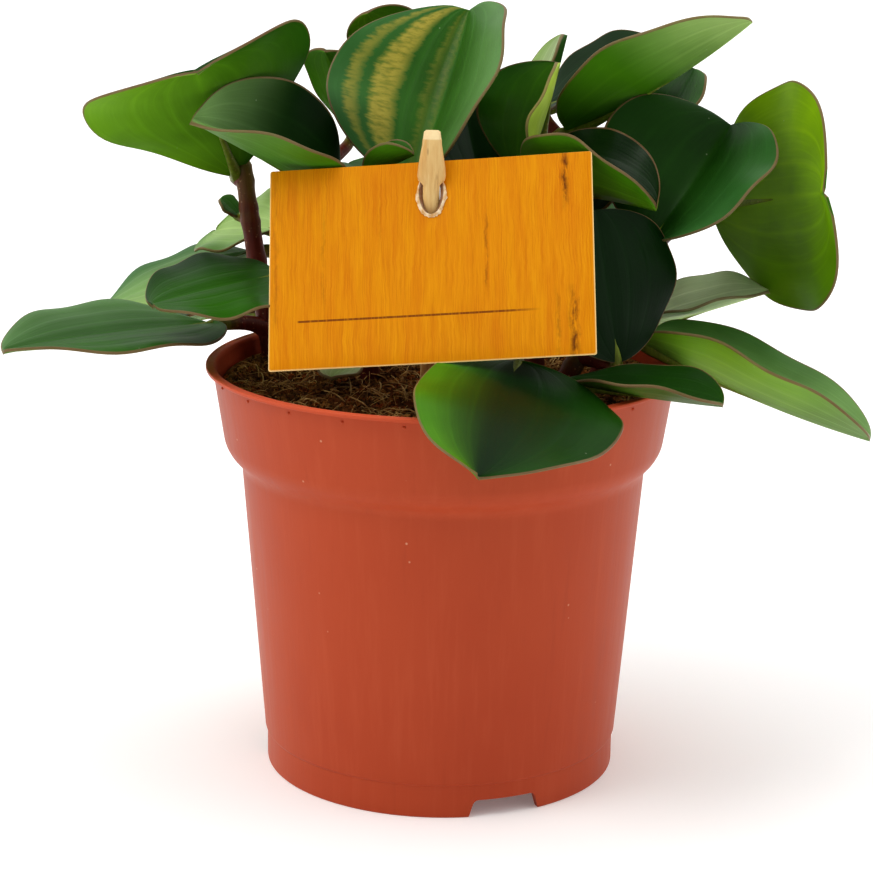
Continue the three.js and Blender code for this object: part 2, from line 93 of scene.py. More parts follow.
# One row for each leaf: name, stem, place along the stem, blade base, blade tip, roll, bend
# (degrees), width, fold at the midrib and curl towards the margins (degrees), how far the tip
# stands out, how the outline closes at the base and at the tip, and by what share the half on the
# right of the way it points is wider than the middle width.
LEAVES = (
    ("upper_left", "left", 0.93, (-59, 31, 159), (-66, -15, 194), 27, 10, 66, 6, 16, -1.5, 1.2, 0.5, 0),
    ("small_left", "left", 0.75, (-59, 34, 147), (-64, 34, 152), -20, 0, 9, 10, 0, 0, 0.7, 0.5, 0),
    ("low_left", "left", 0.3, (-65, 13, 120), (-115, -30, 121.5), -4, 6, 48, 8, -6, 0, 0.5, 0.7, 0),
    ("broad_left", "back_left", 0.5, (-56, 48, 134), (-98, 38, 119), -6, 8, 48, 2, -8, 0, 0.6, 0.75, 0),
    ("pale_left", "back_left", 0.75, (-49, 48, 141), (-67.5, 60, 138), -20, 8, 38, 6, 6, 0, 0.7, 0.5, 0),
    ("middle_left", "centre_left", 0.45, (-45, -4, 137.5), (-78, -20, 132), -8, 5, 46, 2, 0, -1, 0.35, 0.55, 0),
    ("cup_left", "centre_left", 0.75, (-29.5, 11.8, 156), (-66, -13.2, 180), -33, 0, 46, 30, 34, 1, 0.5, 0.6, 0),
    ("soil_small", "centre_left", 0.25, (-25, -3, 114), (-30, -15, 112), 0, 0, 12, 5, 0, 0, 0.8, 0.5, 0),
    ("striped", "centre_left", 0.8, (-9, 2, 162), (6, 36, 206.5), -12, -8, 65, 28, 6, -1.5, 0.6, 0.6, 0),
    ("small_centre", "centre_left", 0.99, (-22, -4, 165), (-9, -10, 172), 0, 0, 13, 50, 10, 0, 0.7, 0.6, 0),
    ("dark_centre", "centre", 0.55, (9, 16, 160), (4, 38, 181), -7, 0, 34, 15, 10, 0, 0.7, 0.5, 0),
    ("cup_centre", "centre", 0.93, (20.5, 9, 163.5), (29.5, 10, 194), 32, -10, 37, 35, 35, 0, 0.7, 0.6, 0),
    ("grey_centre", "centre", 0.8, (25, 32, 168), (32, 36, 198), -18, 0, 23, 20, 10, 1, 0.8, 0.5, 0),
    ("curled_back", "back", 0.93, (-7, 62, 179), (-23, 42, 204), 40, 10, 22, 8, 8, 0, 0.8, 0.5, 0),
    ("pale_back", "back_left", 0.95, (-28, 60, 168), (-34.5, 38, 193.5), 0, 10, 19, 10, 10, 0, 0.8, 0.5, 0),
    ("long_right", "right", 0.93, (33, 25, 173.5), (79, 2, 206), 4, -16, 42, 32, 10, 1, 0.55, 0.6, 0.15),
    ("behind_right", "back_right", 0.95, (29, 51, 177), (60, 48, 195), 14, -10, 36, 15, 10, 0, 0.5, 0.5, 0),
    ("cup_right", "right", 0.7, (24.4, 5.8, 161), (55.2, -14.4, 158.8), 9, 6, 44, 44, 18, 0, 0.32, 0.5, 0.14),
    ("inner_right", "right", 0.45, (35, 18, 150), (44, 30, 168), 0, 0, 28, 12, 8, 0, 0.5, 0.5, 0),
    ("broad_right", "far_right", 0.93, (55, -5.7, 148), (77.8, 15.6, 177.6), 18, 4, 56, 26, 8, -1, 0.55, 0.45, 0),
    ("hanging_right", "far_right", 0.8, (75, 34, 151.5), (98.8, -18, 164), -88, 14, 62, 4, 6, -1.5, 0.52, 0.32, 0),
    ("dark_right", "front_right", 0.93, (45.5, -26.5, 119.8), (38.7, -19.6, 159), -14, 0, 47, 0, -10, 0, 0.7, 0.5, 0),
    ("pale_right", "far_right", 0.35, (54, 19, 119), (88, 11, 132), 5, 0, 37, 14, 10, 1, 0.5, 0.7, 0),
    ("low_right", "far_right", 0.25, (54, -4.5, 120.6), (113.6, -22, 99), -2, -14, 44, 30, 8, 0, 0.32, 0.5, 0.1),
    ("low_small_right", "front_right", 0.6, (31, -32.2, 116.2), (71, -47, 114), 0, -6, 28, 16, 14, 0, 0.8, 0.5, 0),
    ("front", "front", 0.9, (19, -33.5, 120.8), (8.5, -91.5, 106.9), -10, 25, 52.5, 0, -8, 1, 0.5, 0.65, -0.16),
    ("back_left_low", "back_left", 0.2, (-34, 56, 119), (-44, 89, 106), 0, 20, 44, 6, 6, 0, 0.7, 0.5, 0),
    ("back_left_side", "back_left", 0.3, (-54, 44, 118), (-90, 56, 106), 0, 24, 42, 6, 6, -1, 0.7, 0.5, 0),
    ("back_left_high", "back_left", 0.85, (-48, 62, 164), (-72, 80, 178), 0, 10, 48, 10, 8, 0, 0.7, 0.5, 0),
    ("back_middle_low", "back", 0.2, (-2, 62, 124), (4, 89, 110), 0, 25, 42, 6, 6, -1, 0.7, 0.5, 0),
    ("back_middle", "back", 0.55, (-16, 66, 148), (-30, 89, 154), 0, 15, 46, 10, 8, 0, 0.7, 0.5, 0),
    ("back_high", "back", 0.8, (8, 66, 166), (22, 87, 172), 0, 15, 42, 10, 8, 0, 0.7, 0.5, 0),
    ("back_right_low", "back_right", 0.2, (38, 58, 119), (48, 89, 106), 0, 20, 44, 6, 6, 0, 0.7, 0.5, 0),
    ("back_right_side", "back_right", 0.3, (58, 42, 117), (88, 58, 102), 0, 30, 40, 6, 6, -1, 0.7, 0.5, 0),
    ("back_right_middle", "back_right", 0.6, (48, 58, 142), (68, 86, 146), 0, 15, 46, 10, 8, 0, 0.7, 0.5, 0),
    ("back_right_high", "back_right", 0.9, (58, 52, 164), (71, 64, 186), 0, 5, 26, 15, 8, 1, 0.8, 0.5, 0),
)

# Greens of the leaves, from the deepest to the palest. The greyish ones (bluish, grey, sage, pale
# and silver) are partly painted sheen, the glancing reflection of the bright surroundings on leaves
GREENS = {
    "black": srgb(4, 36, 1),
    "deep": srgb(10, 46, 2),
    "dark": srgb(28, 68, 10),
    "mid": srgb(48, 98, 16),
    "fresh": srgb(76, 130, 18),
    "lime": srgb(116, 166, 30),
    "yellow": srgb(134, 174, 5),
    "olive": srgb(62, 94, 22),
    "moss": srgb(96, 140, 5),
    "bluish": srgb(58, 106, 50),
    "grey": srgb(116, 152, 86),
    "pale": srgb(158, 188, 112),
    "sage": srgb(88, 130, 68),
    "straw": srgb(186, 212, 84),
    "silver": srgb(196, 212, 166),
}


# Greens of each leaf: upper side at its left margin, middle and right margin, then the underside
# at its left margin and at its right margin (left and right as the leaf points away), and for some
# the paler green that both sides take on towards the tip. Greyish greens in these rows, and a
# greyish tip green, are partly painted sheen.
LOOKS = {
    "upper_left": ("dark", "dark", "dark", "mid", "lime"),
    "small_left": ("mid", "mid", "mid", "fresh", "fresh"),
    "low_left": ("mid", "mid", "sage", "fresh", "fresh"),
    "broad_left": ("pale", "grey", "bluish", "fresh", "fresh"),
    "pale_left": ("grey", "pale", "pale", "fresh", "fresh"),
    "middle_left": ("mid", "mid", "dark", "fresh", "fresh"),
    # cup_left: the grey tip green is a painted sheen band on the inside of the cup
    "cup_left": ("dark", "dark", "deep", "fresh", "fresh", "grey"),
    "soil_small": ("silver", "pale", "silver", "fresh", "fresh"),
    "striped": ("bluish", "mid", "sage", "fresh", "fresh"),
    "small_centre": ("mid", "mid", "mid", "fresh", "fresh"),
    "dark_centre": ("deep", "deep", "deep", "mid", "mid"),
    "cup_centre": ("mid", "fresh", "straw", "straw", "straw"),
    "grey_centre": ("pale", "silver", "pale", "mid", "mid"),
    "curled_back": ("dark", "dark", "dark", "fresh", "lime"),
    "pale_back": ("dark", "dark", "dark", "fresh", "fresh"),
    "long_right": ("dark", "dark", "dark", "fresh", "fresh", "pale"),
    "behind_right": ("deep", "deep", "dark", "mid", "mid"),
    "cup_right": ("deep", "deep", "deep", "lime", "fresh"),
    "inner_right": ("deep", "deep", "deep", "mid", "mid"),
    "broad_right": ("dark", "dark", "bluish", "fresh", "fresh"),
    "hanging_right": ("mid", "fresh", "mid", "moss", "yellow"),
    # dark_right: near black on both sides, painted shade of the card and the leaves above it
    "dark_right": ("black", "black", "black", "black", "black"),
    "pale_right": ("silver", "silver", "silver", "pale", "pale"),
    "low_right": ("sage", "grey", "mid", "grey", "lime", "grey"),
    "low_small_right": ("dark", "dark", "bluish", "olive", "olive"),
    "front": ("dark", "black", "fresh", "fresh", "fresh"),
}
COMMON_LOOK = ("mid", "dark", "mid", "fresh", "fresh")


# ------------------------------------------------------------------ mesh helpers

def bezier(points, t):
    """A point and the direction of travel on a cubic curve."""
    a, b, c, d = (Vector(point) for point in points)
    s = 1 - t
    place = a * s ** 3 + b * (3 * s * s * t) + c * (3 * s * t * t) + d * t ** 3
    travel = (b - a) * (3 * s * s) + (c - b) * (6 * s * t) + (d - c) * (3 * t * t)
    return place, travel.normalized()


class Shell:
    """Points and faces of a piece in millimetres, with values that belong to each point."""

    def __init__(self):
        self.points = []
        self.faces = []
        self.materials = []
        self.values = []

    def point(self, place, **values):
        self.points.append(Vector(place))
        self.values.append(values)
        return len(self.points) - 1

    def face(self, corners, material=0):
        if len(set(corners)) > 2:
            self.faces.append(tuple(corners))
            self.materials.append(material)

    def circle(self, radius, z, sides, x=0, y=0):
        """The point numbers of a level ring."""
        angles = [math.tau * side / sides for side in range(sides)]
        return [self.point((x + radius * math.cos(a), y + radius * math.sin(a), z)) for a in angles]

    def loft(self, rings, material=0, caps=True):
        """Joins rings of point numbers, and closes both ends with a fan."""
        sides = len(rings[0])
        for here, after in zip(rings, rings[1:]):
            for side in range(sides):
                turn = (side + 1) % sides
                self.face((here[side], here[turn], after[turn], after[side]), material)
        if caps:
            for ring in (rings[0], rings[-1]):
                middle = sum((self.points[i] for i in ring), Vector()) / sides
                hub = self.point(middle, **self.values[ring[0]])
                for side in range(sides):
                    self.face((hub, ring[side], ring[(side + 1) % sides]), material)

    def tube(self, stations, sides, material=0):
        """A round tube through stations of (centre, radius, values)."""
        across = Vector((1, 0, 0))
        rings = []
        for index, (centre, radius, values) in enumerate(stations):
            before = stations[max(index - 1, 0)][0]
            after = stations[min(index + 1, len(stations) - 1)][0]
            along = (after - before).normalized()
            across = (across - along * across.dot(along)).normalized()
            other = along.cross(across)
            ring = []
            for side in range(sides):
                angle = math.tau * side / sides
                offset = across * (radius * math.cos(angle)) + other * (radius * math.sin(angle))
                ring.append(self.point(centre + offset, **values))
            rings.append(ring)
        self.loft(rings, material)

    def build(self, name, materials, numbers=(), colours=()):
        """The finished object, with its UV map and its named values on the points."""
        mesh = bpy.data.meshes.new(name)
        mesh.from_pydata([point * MM for point in self.points], [], self.faces)
        for material in materials:
            mesh.materials.append(material)
        mesh.polygons.foreach_set("material_index", self.materials)
        mesh.polygons.foreach_set("use_smooth", [True] * len(self.faces))
        for key in numbers:
            layer = mesh.attributes.new(key, "FLOAT", "POINT")
            layer.data.foreach_set("value", [values.get(key, 0.0) for values in self.values])
        for key in colours:
            layer = mesh.attributes.new(key, "FLOAT_COLOR", "POINT")
            flat = [part for values in self.values for part in values.get(key, (0, 0, 0, 1))]
            layer.data.foreach_set("color", flat)
        if any("uv" in values for values in self.values):
            layer = mesh.uv_layers.new(name="UVMap")
            for loop in mesh.loops:
                layer.data[loop.index].uv = self.values[loop.vertex_index].get("uv", (0.5, 0.5))
        work = bmesh.new()
        work.from_mesh(mesh)
        bmesh.ops.remove_doubles(work, verts=work.verts, dist=0.000002)
        bmesh.ops.recalc_face_normals(work, faces=work.faces)
        work.to_mesh(mesh)
        work.free()
        piece = bpy.data.objects.new(name, mesh)
        bpy.context.collection.objects.link(piece)
        return piece


def settle(piece, slot, *nodes):
    """Hands a finished piece over to the part: it rides on the body and stands for its nodes."""
    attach(piece, "root")
    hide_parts(*nodes)


def baked(piece):
    """The same piece with its modifiers turned into plain mesh."""
    bpy.context.view_layer.update()
    graph = bpy.context.evaluated_depsgraph_get()
    mesh = bpy.data.meshes.new_from_object(
        piece.evaluated_get(graph), preserve_all_data_layers=True, depsgraph=graph)
    piece.modifiers.clear()
    old = piece.data
    piece.data = mesh
    mesh.name = piece.name
    bpy.data.meshes.remove(old)
    return piece


# ------------------------------------------------------------------ node helpers

class Graph:
    """Adds and joins the nodes of one tree."""

    def __init__(self, tree):
        self.tree = tree

    def add(self, kind, inputs=None, **settings):
        node = self.tree.nodes.new(kind)
        for key, value in settings.items():
            setattr(node, key, value)
        for key, value in (inputs or {}).items():
            self.set(node.inputs[key], value)
        return node

    def get(self, kind, inputs=None, **settings):
        """The first output of a new node."""
        return self.add(kind, inputs, **settings).outputs[0]

    def set(self, socket, value):
        if isinstance(value, bpy.types.NodeSocket):
            self.tree.links.new(value, socket)
        else:
            socket.default_value = value

    def math(self, operation, a, b=0.0, c=0.0):
        return self.get("ShaderNodeMath", {0: a, 1: b, 2: c}, operation=operation)

    def mix(self, factor, a, b, blend="MIX"):
        node = self.add("ShaderNodeMix", {0: factor, 6: a, 7: b}, data_type="RGBA", blend_type=blend)
        return node.outputs[2]

    def ramp(self, factor, *stops):
        """Grey values at places from 0 to 1, joined by straight lines."""
        node = self.add("ShaderNodeValToRGB", {0: factor})
        ramp = node.color_ramp
        while len(ramp.elements) < len(stops):
            ramp.elements.new(0.5)
        for element, (place, value) in zip(ramp.elements, stops):
            element.position = place
            element.color = (value, value, value, 1)
        return node.outputs[0]

    def noise(self, vector, scale, detail=3.0, roughness=0.55):
        inputs = {"Vector": vector, "Scale": scale, "Detail": detail, "Roughness": roughness}
        return self.get("ShaderNodeTexNoise", inputs)

    def dots(self, vector, scale):
        """Distance to the nearest of many strewn places."""
        return self.get("ShaderNodeTexVoronoi", {"Vector": vector, "Scale": scale})

    def stretched(self, vector, scale):
        return self.get("ShaderNodeMapping", {"Vector": vector, "Scale": scale})

    def parts(self, vector):
        """The three parts of a vector."""
        return self.add("ShaderNodeSeparateXYZ", {0: vector}).outputs

    def rise(self, value, low, high):
        """From 0 at the low value to 1 at the high one."""
        return self.get("ShaderNodeMapRange", {0: value, 1: low, 2: high})

    def object_place(self):
        return self.add("ShaderNodeTexCoord").outputs["Object"]

    def uv_place(self):
        return self.get("ShaderNodeUVMap", uv_map="UVMap")

    def value(self, name):
        return self.add("ShaderNodeAttribute", attribute_name=name).outputs["Fac"]

    def colour(self, name):
        return self.add("ShaderNodeAttribute", attribute_name=name).outputs["Color"]

    def finish(self, shader, tone, height, strength, distance, roughness=None):
        """Joins colour, bump and, where it varies, roughness to the shader."""
        self.set(shader.inputs["Base Color"], tone)
        if roughness:
            self.set(shader.inputs["Roughness"], roughness)
        bump = {"Height": height, "Strength": strength, "Distance": distance}
        self.set(shader.inputs["Normal"], self.get("ShaderNodeBump", bump))


def new_material(name, preview, **fixed):
    """A material with its graph and shader. Fixed values go straight onto the shader."""
    material = bpy.data.materials.new(name)
    material.use_nodes = True
    material.diffuse_color = preview
    graph = Graph(material.node_tree)
    shader = material.node_tree.nodes["Principled BSDF"]
    for key, value in fixed.items():
        shader.inputs[key.replace("_", " ")].default_value = value
    return material, graph, shader


def new_tree(name, **inputs):
    """A Geometry Nodes tree with a graph, its own sockets by name, and what it is given."""
    tree = bpy.data.node_groups.new(name, "GeometryNodeTree")

    def socket(label, side, kind):
        return tree.interface.new_socket(label, in_out=side, socket_type=f"NodeSocket{kind}")

    socket("Geometry", "INPUT", "Geometry")
    sockets = {label: socket(label.replace("_", " "), "INPUT", kind).identifier for label, kind in inputs.items()}
    socket("Geometry", "OUTPUT", "Geometry")
    graph = Graph(tree)
    return graph, sockets, graph.add("NodeGroupInput").outputs


def run_tree(piece, graph, sockets, **values):
    """Runs a tree on a piece with the given inputs and keeps the result as plain mesh."""
    modifier = piece.modifiers.new(graph.tree.name, "NODES")
    modifier.node_group = graph.tree
    for label, value in values.items():
        modifier[sockets[label]] = value
    baked(piece)


# ------------------------------------------------------------------ leaves

def leaf_blade_material(finishes):
    """Fleshy blade with a soft sheen: faint veins that curve to the tip and a thin brown margin."""
    material, g, shader = new_material("leaf_blade", GREENS["mid"], Specular_IOR_Level=0.13, Coat_Weight=0.03,
                                       Coat_Roughness=0.2, Subsurface_Weight=0.06, Subsurface_Scale=0.0015)
    shader.inputs["Subsurface Radius"].default_value = (0.5, 1.0, 0.15)
    place = g.object_place()
    uv = g.parts(g.uv_place())
    wobble = g.math("SUBTRACT", g.noise(place, 60, 2), 0.5)
    across = g.math("SUBTRACT", uv[0], 0.5)
    side = g.math("MULTIPLY", g.math("ABSOLUTE", across), 2.0)
    strayed = g.math("MULTIPLY_ADD", wobble, 0.06, side)
    rib = g.ramp(strayed, (0, 1), (0.02, 0.7), (0.06, 0))
    veins = g.ramp(strayed, (0.26, 0), (0.3, 0.8), (0.35, 0), (0.56, 0), (0.6, 0.6), (0.65, 0), (1, 0))
    vein = g.math("MAXIMUM", rib, veins)

    skin = g.colour("skin")
    mottle = g.noise(place, 45, 3, 0.5)
    fine = g.noise(g.stretched(g.uv_place(), (60, 4, 1)), 1.0, 3, 0.5)
    lighter = g.mix(1.0, skin, (1.75, 1.6, 1.9, 1), "MULTIPLY")
    darker = g.mix(1.0, skin, (0.6, 0.64, 0.55, 1), "MULTIPLY")
    tone = g.mix(g.ramp(mottle, (0.35, 0.45), (0.5, 0)), skin, darker)
    tone = g.mix(g.ramp(mottle, (0.5, 0), (0.7, 0.3)), tone, lighter)
    tone = g.mix(g.ramp(fine, (0.5, 0), (0.8, 0.22)), tone, lighter)
    tone = g.mix(g.math("MULTIPLY", vein, 0.35), tone, lighter)
    specks = g.dots(place, 120.0)
    tone = g.mix(g.ramp(specks, (0, 0.55), (0.035, 0)), tone, srgb(180, 190, 160))

    rim = g.value("rim")
    ragged = g.math("MULTIPLY_ADD", g.math("SUBTRACT", g.noise(place, 200, 2), 0.5), 0.3, rim)
    edge = g.ramp(ragged, (0, 0.85), (0.08, 0.7), (0.24, 0))
    brown = g.mix(g.noise(place, 60, 2), finishes.margin_colour, finishes.margin_blush)
    tone = g.mix(edge, tone, brown)

    smooth = g.math("MULTIPLY_ADD", g.value("underside"), 0.14, 0.27)
    pores = g.noise(place, 1500, 2)
    height = g.math("MULTIPLY_ADD", pores, 0.06, g.math("MULTIPLY", vein, -0.35))
    height = g.math("MULTIPLY_ADD", mottle, 1.2, height)
    height = g.math("MULTIPLY_ADD", fine, 0.3, height)
    g.finish(shader, tone, height, 0.3, 0.0006, g.math("MULTIPLY_ADD", mottle, 0.2, smooth))
    return material


def striped_blade_material(finishes):
    """The leaf with cream flames along its left half, feathered at their edges."""
    material = leaf_blade_material(finishes)
    material.name = "leaf_blade_striped"
    g = Graph(material.node_tree)
    shader = material.node_tree.nodes["Principled BSDF"]
    plain = shader.inputs["Base Color"].links[0].from_socket
    uv = g.parts(g.uv_place())
    along = uv[1]
    slant = g.math("MULTIPLY_ADD", along, 0.22, uv[0])
    slanted = g.add("ShaderNodeCombineXYZ", {0: slant, 1: along})
    streaks = g.noise(g.stretched(slanted.outputs[0], (15, 46, 1)), 1.0, 4, 0.6)
    drift = g.math("SUBTRACT", g.noise(g.stretched(g.uv_place(), (3, 5, 1)), 1.0, 2), 0.5)
    stray = g.math("MULTIPLY_ADD", g.math("SUBTRACT", streaks, 0.5), 0.07, uv[0])
    stray = g.math("MULTIPLY_ADD", drift, 0.05, stray)
    bands = g.ramp(stray, (0, 0), (0.06, 0), (0.09, 0.6), (0.115, 0.55), (0.145, 0), (0.17, 0), (0.205, 0.9),
                   (0.26, 1), (0.285, 0.75), (0.32, 0), (0.4, 0), (0.43, 0.25), (0.46, 0.05), (0.49, 0.2), (0.51, 0))
    reach = g.ramp(along, (0, 0), (0.08, 0.55), (0.3, 1), (0.9, 1), (1, 0.4))
    torn = g.ramp(streaks, (0.3, 0.45), (0.55, 1))
    upper = g.math("SUBTRACT", 1.0, g.value("underside"))
    flame = g.math("MULTIPLY", g.math("MULTIPLY", bands, reach), g.math("MULTIPLY", torn, upper))
    cream = g.mix(streaks, finishes.flame_colour, srgb(186, 172, 80))
    g.set(shader.inputs["Base Color"], g.mix(flame, plain, cream))
    return material


def stalk_material(name, root, tip):
    """Fleshy stalk skin that runs from reddish brown to green, with pale dots."""
    material, g, shader = new_material(name, root, Specular_IOR_Level=0.25, Subsurface_Weight=0.06)
    shader.inputs["Subsurface Scale"].default_value = 0.0015
    place = g.object_place()
    patches = g.noise(place, 160, 3)
    along = g.math("MULTIPLY_ADD", g.math("SUBTRACT", patches, 0.5), 0.5, g.value("along"))
    tone = g.mix(g.ramp(along, (0.55, 0), (1.15, 0.85)), root, tip)
    lengthwise = g.noise(g.stretched(place, (1, 1, 0.12)), 900, 3)
    darker = g.mix(1.0, tone, (0.55, 0.5, 0.5, 1), "MULTIPLY")
    tone = g.mix(g.ramp(lengthwise, (0.35, 0.7), (0.6, 0)), tone, darker)
    dots = g.dots(place, 700.0)
    tone = g.mix(g.ramp(dots, (0.1, 0.5), (0.22, 0)), tone, srgb(190, 150, 110))
    height = g.math("ADD", patches, lengthwise)
    g.finish(shader, tone, height, 0.3, 0.0004, g.math("MULTIPLY_ADD", patches, 0.25, 0.3))
    return material


class Blade:
    """The middle surface of a leaf's blade, from the base at t = 0 to the tip at t = 1."""

    def __init__(self, row):
        _, _, _, base, tip, roll, bend, width, fold, curl, point, taper, closing, self.skew = row
        self.start = Vector(base)
        chord = Vector(tip) - self.start
        along = chord.normalized()
        up = (Vector((0, 0, 1)) - along * along.z).normalized()
        side = along.cross(up)
        turn = math.radians(roll)
        normal = up * math.cos(turn) + side * math.sin(turn)
        self.side = side * math.cos(turn) - up * math.sin(turn)
        self.arc = math.radians(bend or 0.01)
        self.length = chord.length * (self.arc / 2) / math.sin(self.arc / 2)
        self.first = along * math.cos(self.arc / 2) + normal * math.sin(self.arc / 2)
        self.first_up = normal * math.cos(self.arc / 2) - along * math.sin(self.arc / 2)
        self.rise = math.radians(fold)
        self.turn_per_mm = math.radians(curl or 0.01) / (width / 2)
        self.width = width
        self.point = point
        self.taper = taper
        self.closing = closing

    def half_width(self, t):
        def outline(s):
            return s ** self.taper * (1 - s) ** self.closing
        return self.width / 2 * outline(t) / outline(self.taper / (self.taper + self.closing))

    def surface(self, t, d):
        """Place, direction it faces and direction to its margin, d millimetres from the midrib."""
        s = t + self.point / self.length * t ** 12 * math.exp(-(d / 4) ** 2)
        sign = math.copysign(1, d)
        angle = self.rise + self.turn_per_mm * abs(d)
        out = (math.sin(angle) - math.sin(self.rise)) / self.turn_per_mm * sign
        lift = (math.cos(self.rise) - math.cos(angle)) / self.turn_per_mm
        bent = self.arc * s
        up_here = self.first_up * math.cos(bent) + self.first * math.sin(bent)
        place = self.start + self.first * (self.length / self.arc * math.sin(bent))
        place -= self.first_up * (self.length / self.arc * (1 - math.cos(bent)))
        place += self.side * out + up_here * lift
        lean = angle * sign * min(abs(d) / 1.5, 1)
        facing = up_here * math.cos(lean) - self.side * math.sin(lean)
        outward = self.side * math.cos(lean) + up_here * math.sin(lean)
        return place, facing, outward


def leaf_colour(look, q, t, underside):
    """The green at a place on the blade, from the leaf's row of greens, which for some leaves holds painted sheen and
    painted shade.
    """
    left, middle, right, under_left, under_right, *towards_tip = (GREENS[name] for name in look)
    if underside:
        share = 0.5 + 0.5 * q
        pair = (under_left, under_right)
    elif q < 0:
        share = 1 - min(-q * 1.15, 1) ** 1.5
        pair = (left, middle)
    else:
        share = min(q * 1.15, 1) ** 1.5
        pair = (middle, right)
    tone = [a + (b - a) * share for a, b in zip(*pair)]
    # Paler green towards the tip, partly painted sheen
    if towards_tip:
        share = min(max((t - 0.45) / 0.5, 0), 1) ** 1.3
        tone = [a + (b - a) * share for a, b in zip(tone, towards_tip[0])]
    return tuple(tone)


def add_blade(shell, row, sizes, seed):
    """The blade as rings round its cross-section, with a rounded margin and a faint wave."""
    name = row[0]
    blade = Blade(row)
    chance = random.Random(seed)
    phases = [chance.uniform(0, math.tau) for _ in range(4)]
    look = LOOKS.get(name, COMMON_LOOK)
    small = blade.width < 15
    rows = 14 if small else 44
    columns = 8 if small else 26
    wave_size = sizes.wave / MM * min(blade.width / 40, 1.2)
    pucker = 0.5 if name in ("low_left", "broad_left") else 0.12
    rings = []
    for index in range(rows + 1):
        t = (1 - math.cos(math.pi * index / rows)) / 2
        half = max(blade.half_width(min(max(t, 1e-5), 1 - 1e-5)), 0.25)

        def spot(q, height, outward_shift=0.0):
            d = q * half * (1 + blade.skew * (1 if q > 0 else -1))
            place, facing, outward = blade.surface(t, d)
            side_phase = phases[0] if q < 0 else phases[1]
            wave = wave_size * q * q * math.sin(2.2 * math.tau * t + side_phase)
            wave += 0.35 * wave_size * math.sin(1.3 * math.tau * t + phases[2]) * q
            swell = pucker * abs(math.sin(math.pi * 3 * abs(q))) * math.sin(math.pi * t)
            swell -= 0.25 * math.exp(-(d / 0.9) ** 2) * (1 if pucker else 0)
            place = place + facing * (wave + swell + height) + outward * outward_shift
            values = {
                "uv": (0.5 + 0.5 * q, t),
                "rim": max((1 - abs(q)) * half, 0.0),
                "underside": 1.0 if height < 0 else 0.0,
                "skin": leaf_colour(look, q, t, height < 0),
            }
            return shell.point(place, **values)

        qs = [math.sin((column / columns * 2 - 1) * math.pi / 2) for column in range(columns + 1)]
        middle = sizes.blade_middle / MM
        margin = sizes.blade_margin / MM

        def thick(q):
            return (middle + (margin - middle) * abs(q) ** 1.5) / 2

        ring = [spot(q, thick(q)) for q in qs]
        arc = [math.radians(angle) for angle in (50, 0, -50)]
        edge = thick(1)
        ring += [spot(1, edge * math.sin(a), edge * math.cos(a)) for a in arc]
        ring += [spot(q, -thick(q)) for q in reversed(qs)]
        ring += [spot(-1, edge * math.sin(a), -edge * math.cos(a)) for a in reversed(arc)]
        rings.append(ring)
    shell.loft(rings)
    return blade


def add_petiole(shell, row, blade, sizes):
    """The petiole flares out of its stem, bends to the blade and fades into a rib under it."""
    _, stem, at, base = row[:4]
    root, travel = bezier(STEMS[stem], at)
    end = Vector(base)
    reach = (end - root).length
    away = ((end - root).normalized() + travel * 0.5).normalized()
    path = (root, root + away * reach * 0.35, end - blade.first * reach * 0.35, end)
    steps = max(6, int(reach / 2))
    root_radius = sizes.petiole_root / MM
    end_radius = sizes.petiole_end / MM
    slim = min(1.0, 0.35 + blade.width / 40)
    stations = []
    for step in range(steps):
        t = step / steps
        centre, _ = bezier(path, t)
        flare = 0.5 * math.exp(-(max(t * reach - 2.5, 0) / 1.6) ** 2)
        radius = (root_radius + (end_radius - root_radius) * t + flare) * slim
        stations.append((centre, radius, {"along": t}))
    for t, radius, sunk in ((0.015, 1.8, 0.85), (0.06, 1.65, 0.9), (0.12, 1.4, 0.95), (0.2, 1.1, 0.8),
                            (0.3, 0.85, 0.65), (0.42, 0.6, 0.45), (0.55, 0.4, 0.4)):
        place, facing, _ = blade.surface(t, 0.0)
        stations.append((place - facing * sunk * slim, radius * slim, {"along": 1.0 + t}))
    shell.tube(stations, 12, material=1)


class LeafSizes(bpy.types.PropertyGroup):
    """Sizes of the leaves and stems"""
    blade_middle: length("Blade at the midrib", "Thickness of a blade along its midrib", 0.0012)
    blade_margin: length("Blade at the margin", "Thickness of a blade at its margin", 0.0008)
    wave: length("Margin wave", "How far the margins rise and fall", 0.0007)
    petiole_root: length("Petiole at the stem", "Radius of a petiole where it leaves the stem", 0.0023)
    petiole_end: length("Petiole at the blade", "Radius of a petiole where the blade starts", 0.0019)
    stem_bottom: length("Stem at the soil", "Radius of a stem at the soil", 0.003)
    stem_top: length("Stem at the tip", "Radius of a stem at its tip", 0.0024)


class Finishes(bpy.types.PropertyGroup):
    """Colours of the part"""
    margin_colour: tint("Leaf margin", "Colour of the thin line round a leaf", (142, 124, 92))
    margin_blush: tint("Margin blush", "Reddish part of the leaf margin", (112, 70, 48))
    flame_colour: tint("Leaf flames", "Cream bands of the striped leaf", (150, 138, 44))
    stem_red: tint("Stem", "Reddish brown of stems and petioles", (112, 44, 32))
    stem_green: tint("Young stem", "Green of petioles near the blade", (120, 142, 44))
    pot_colour: tint("Pot", "Terracotta colour of the moulded pot", (180, 78, 44))
    card_colour: tint("Card", "Orange of the wood print", (222, 147, 5))
    wood_colour: tint("Stake", "Pale wood of the stake", (232, 200, 140))
    peat_colour: tint("Peat", "Dark brown of the peat", (112, 74, 38))


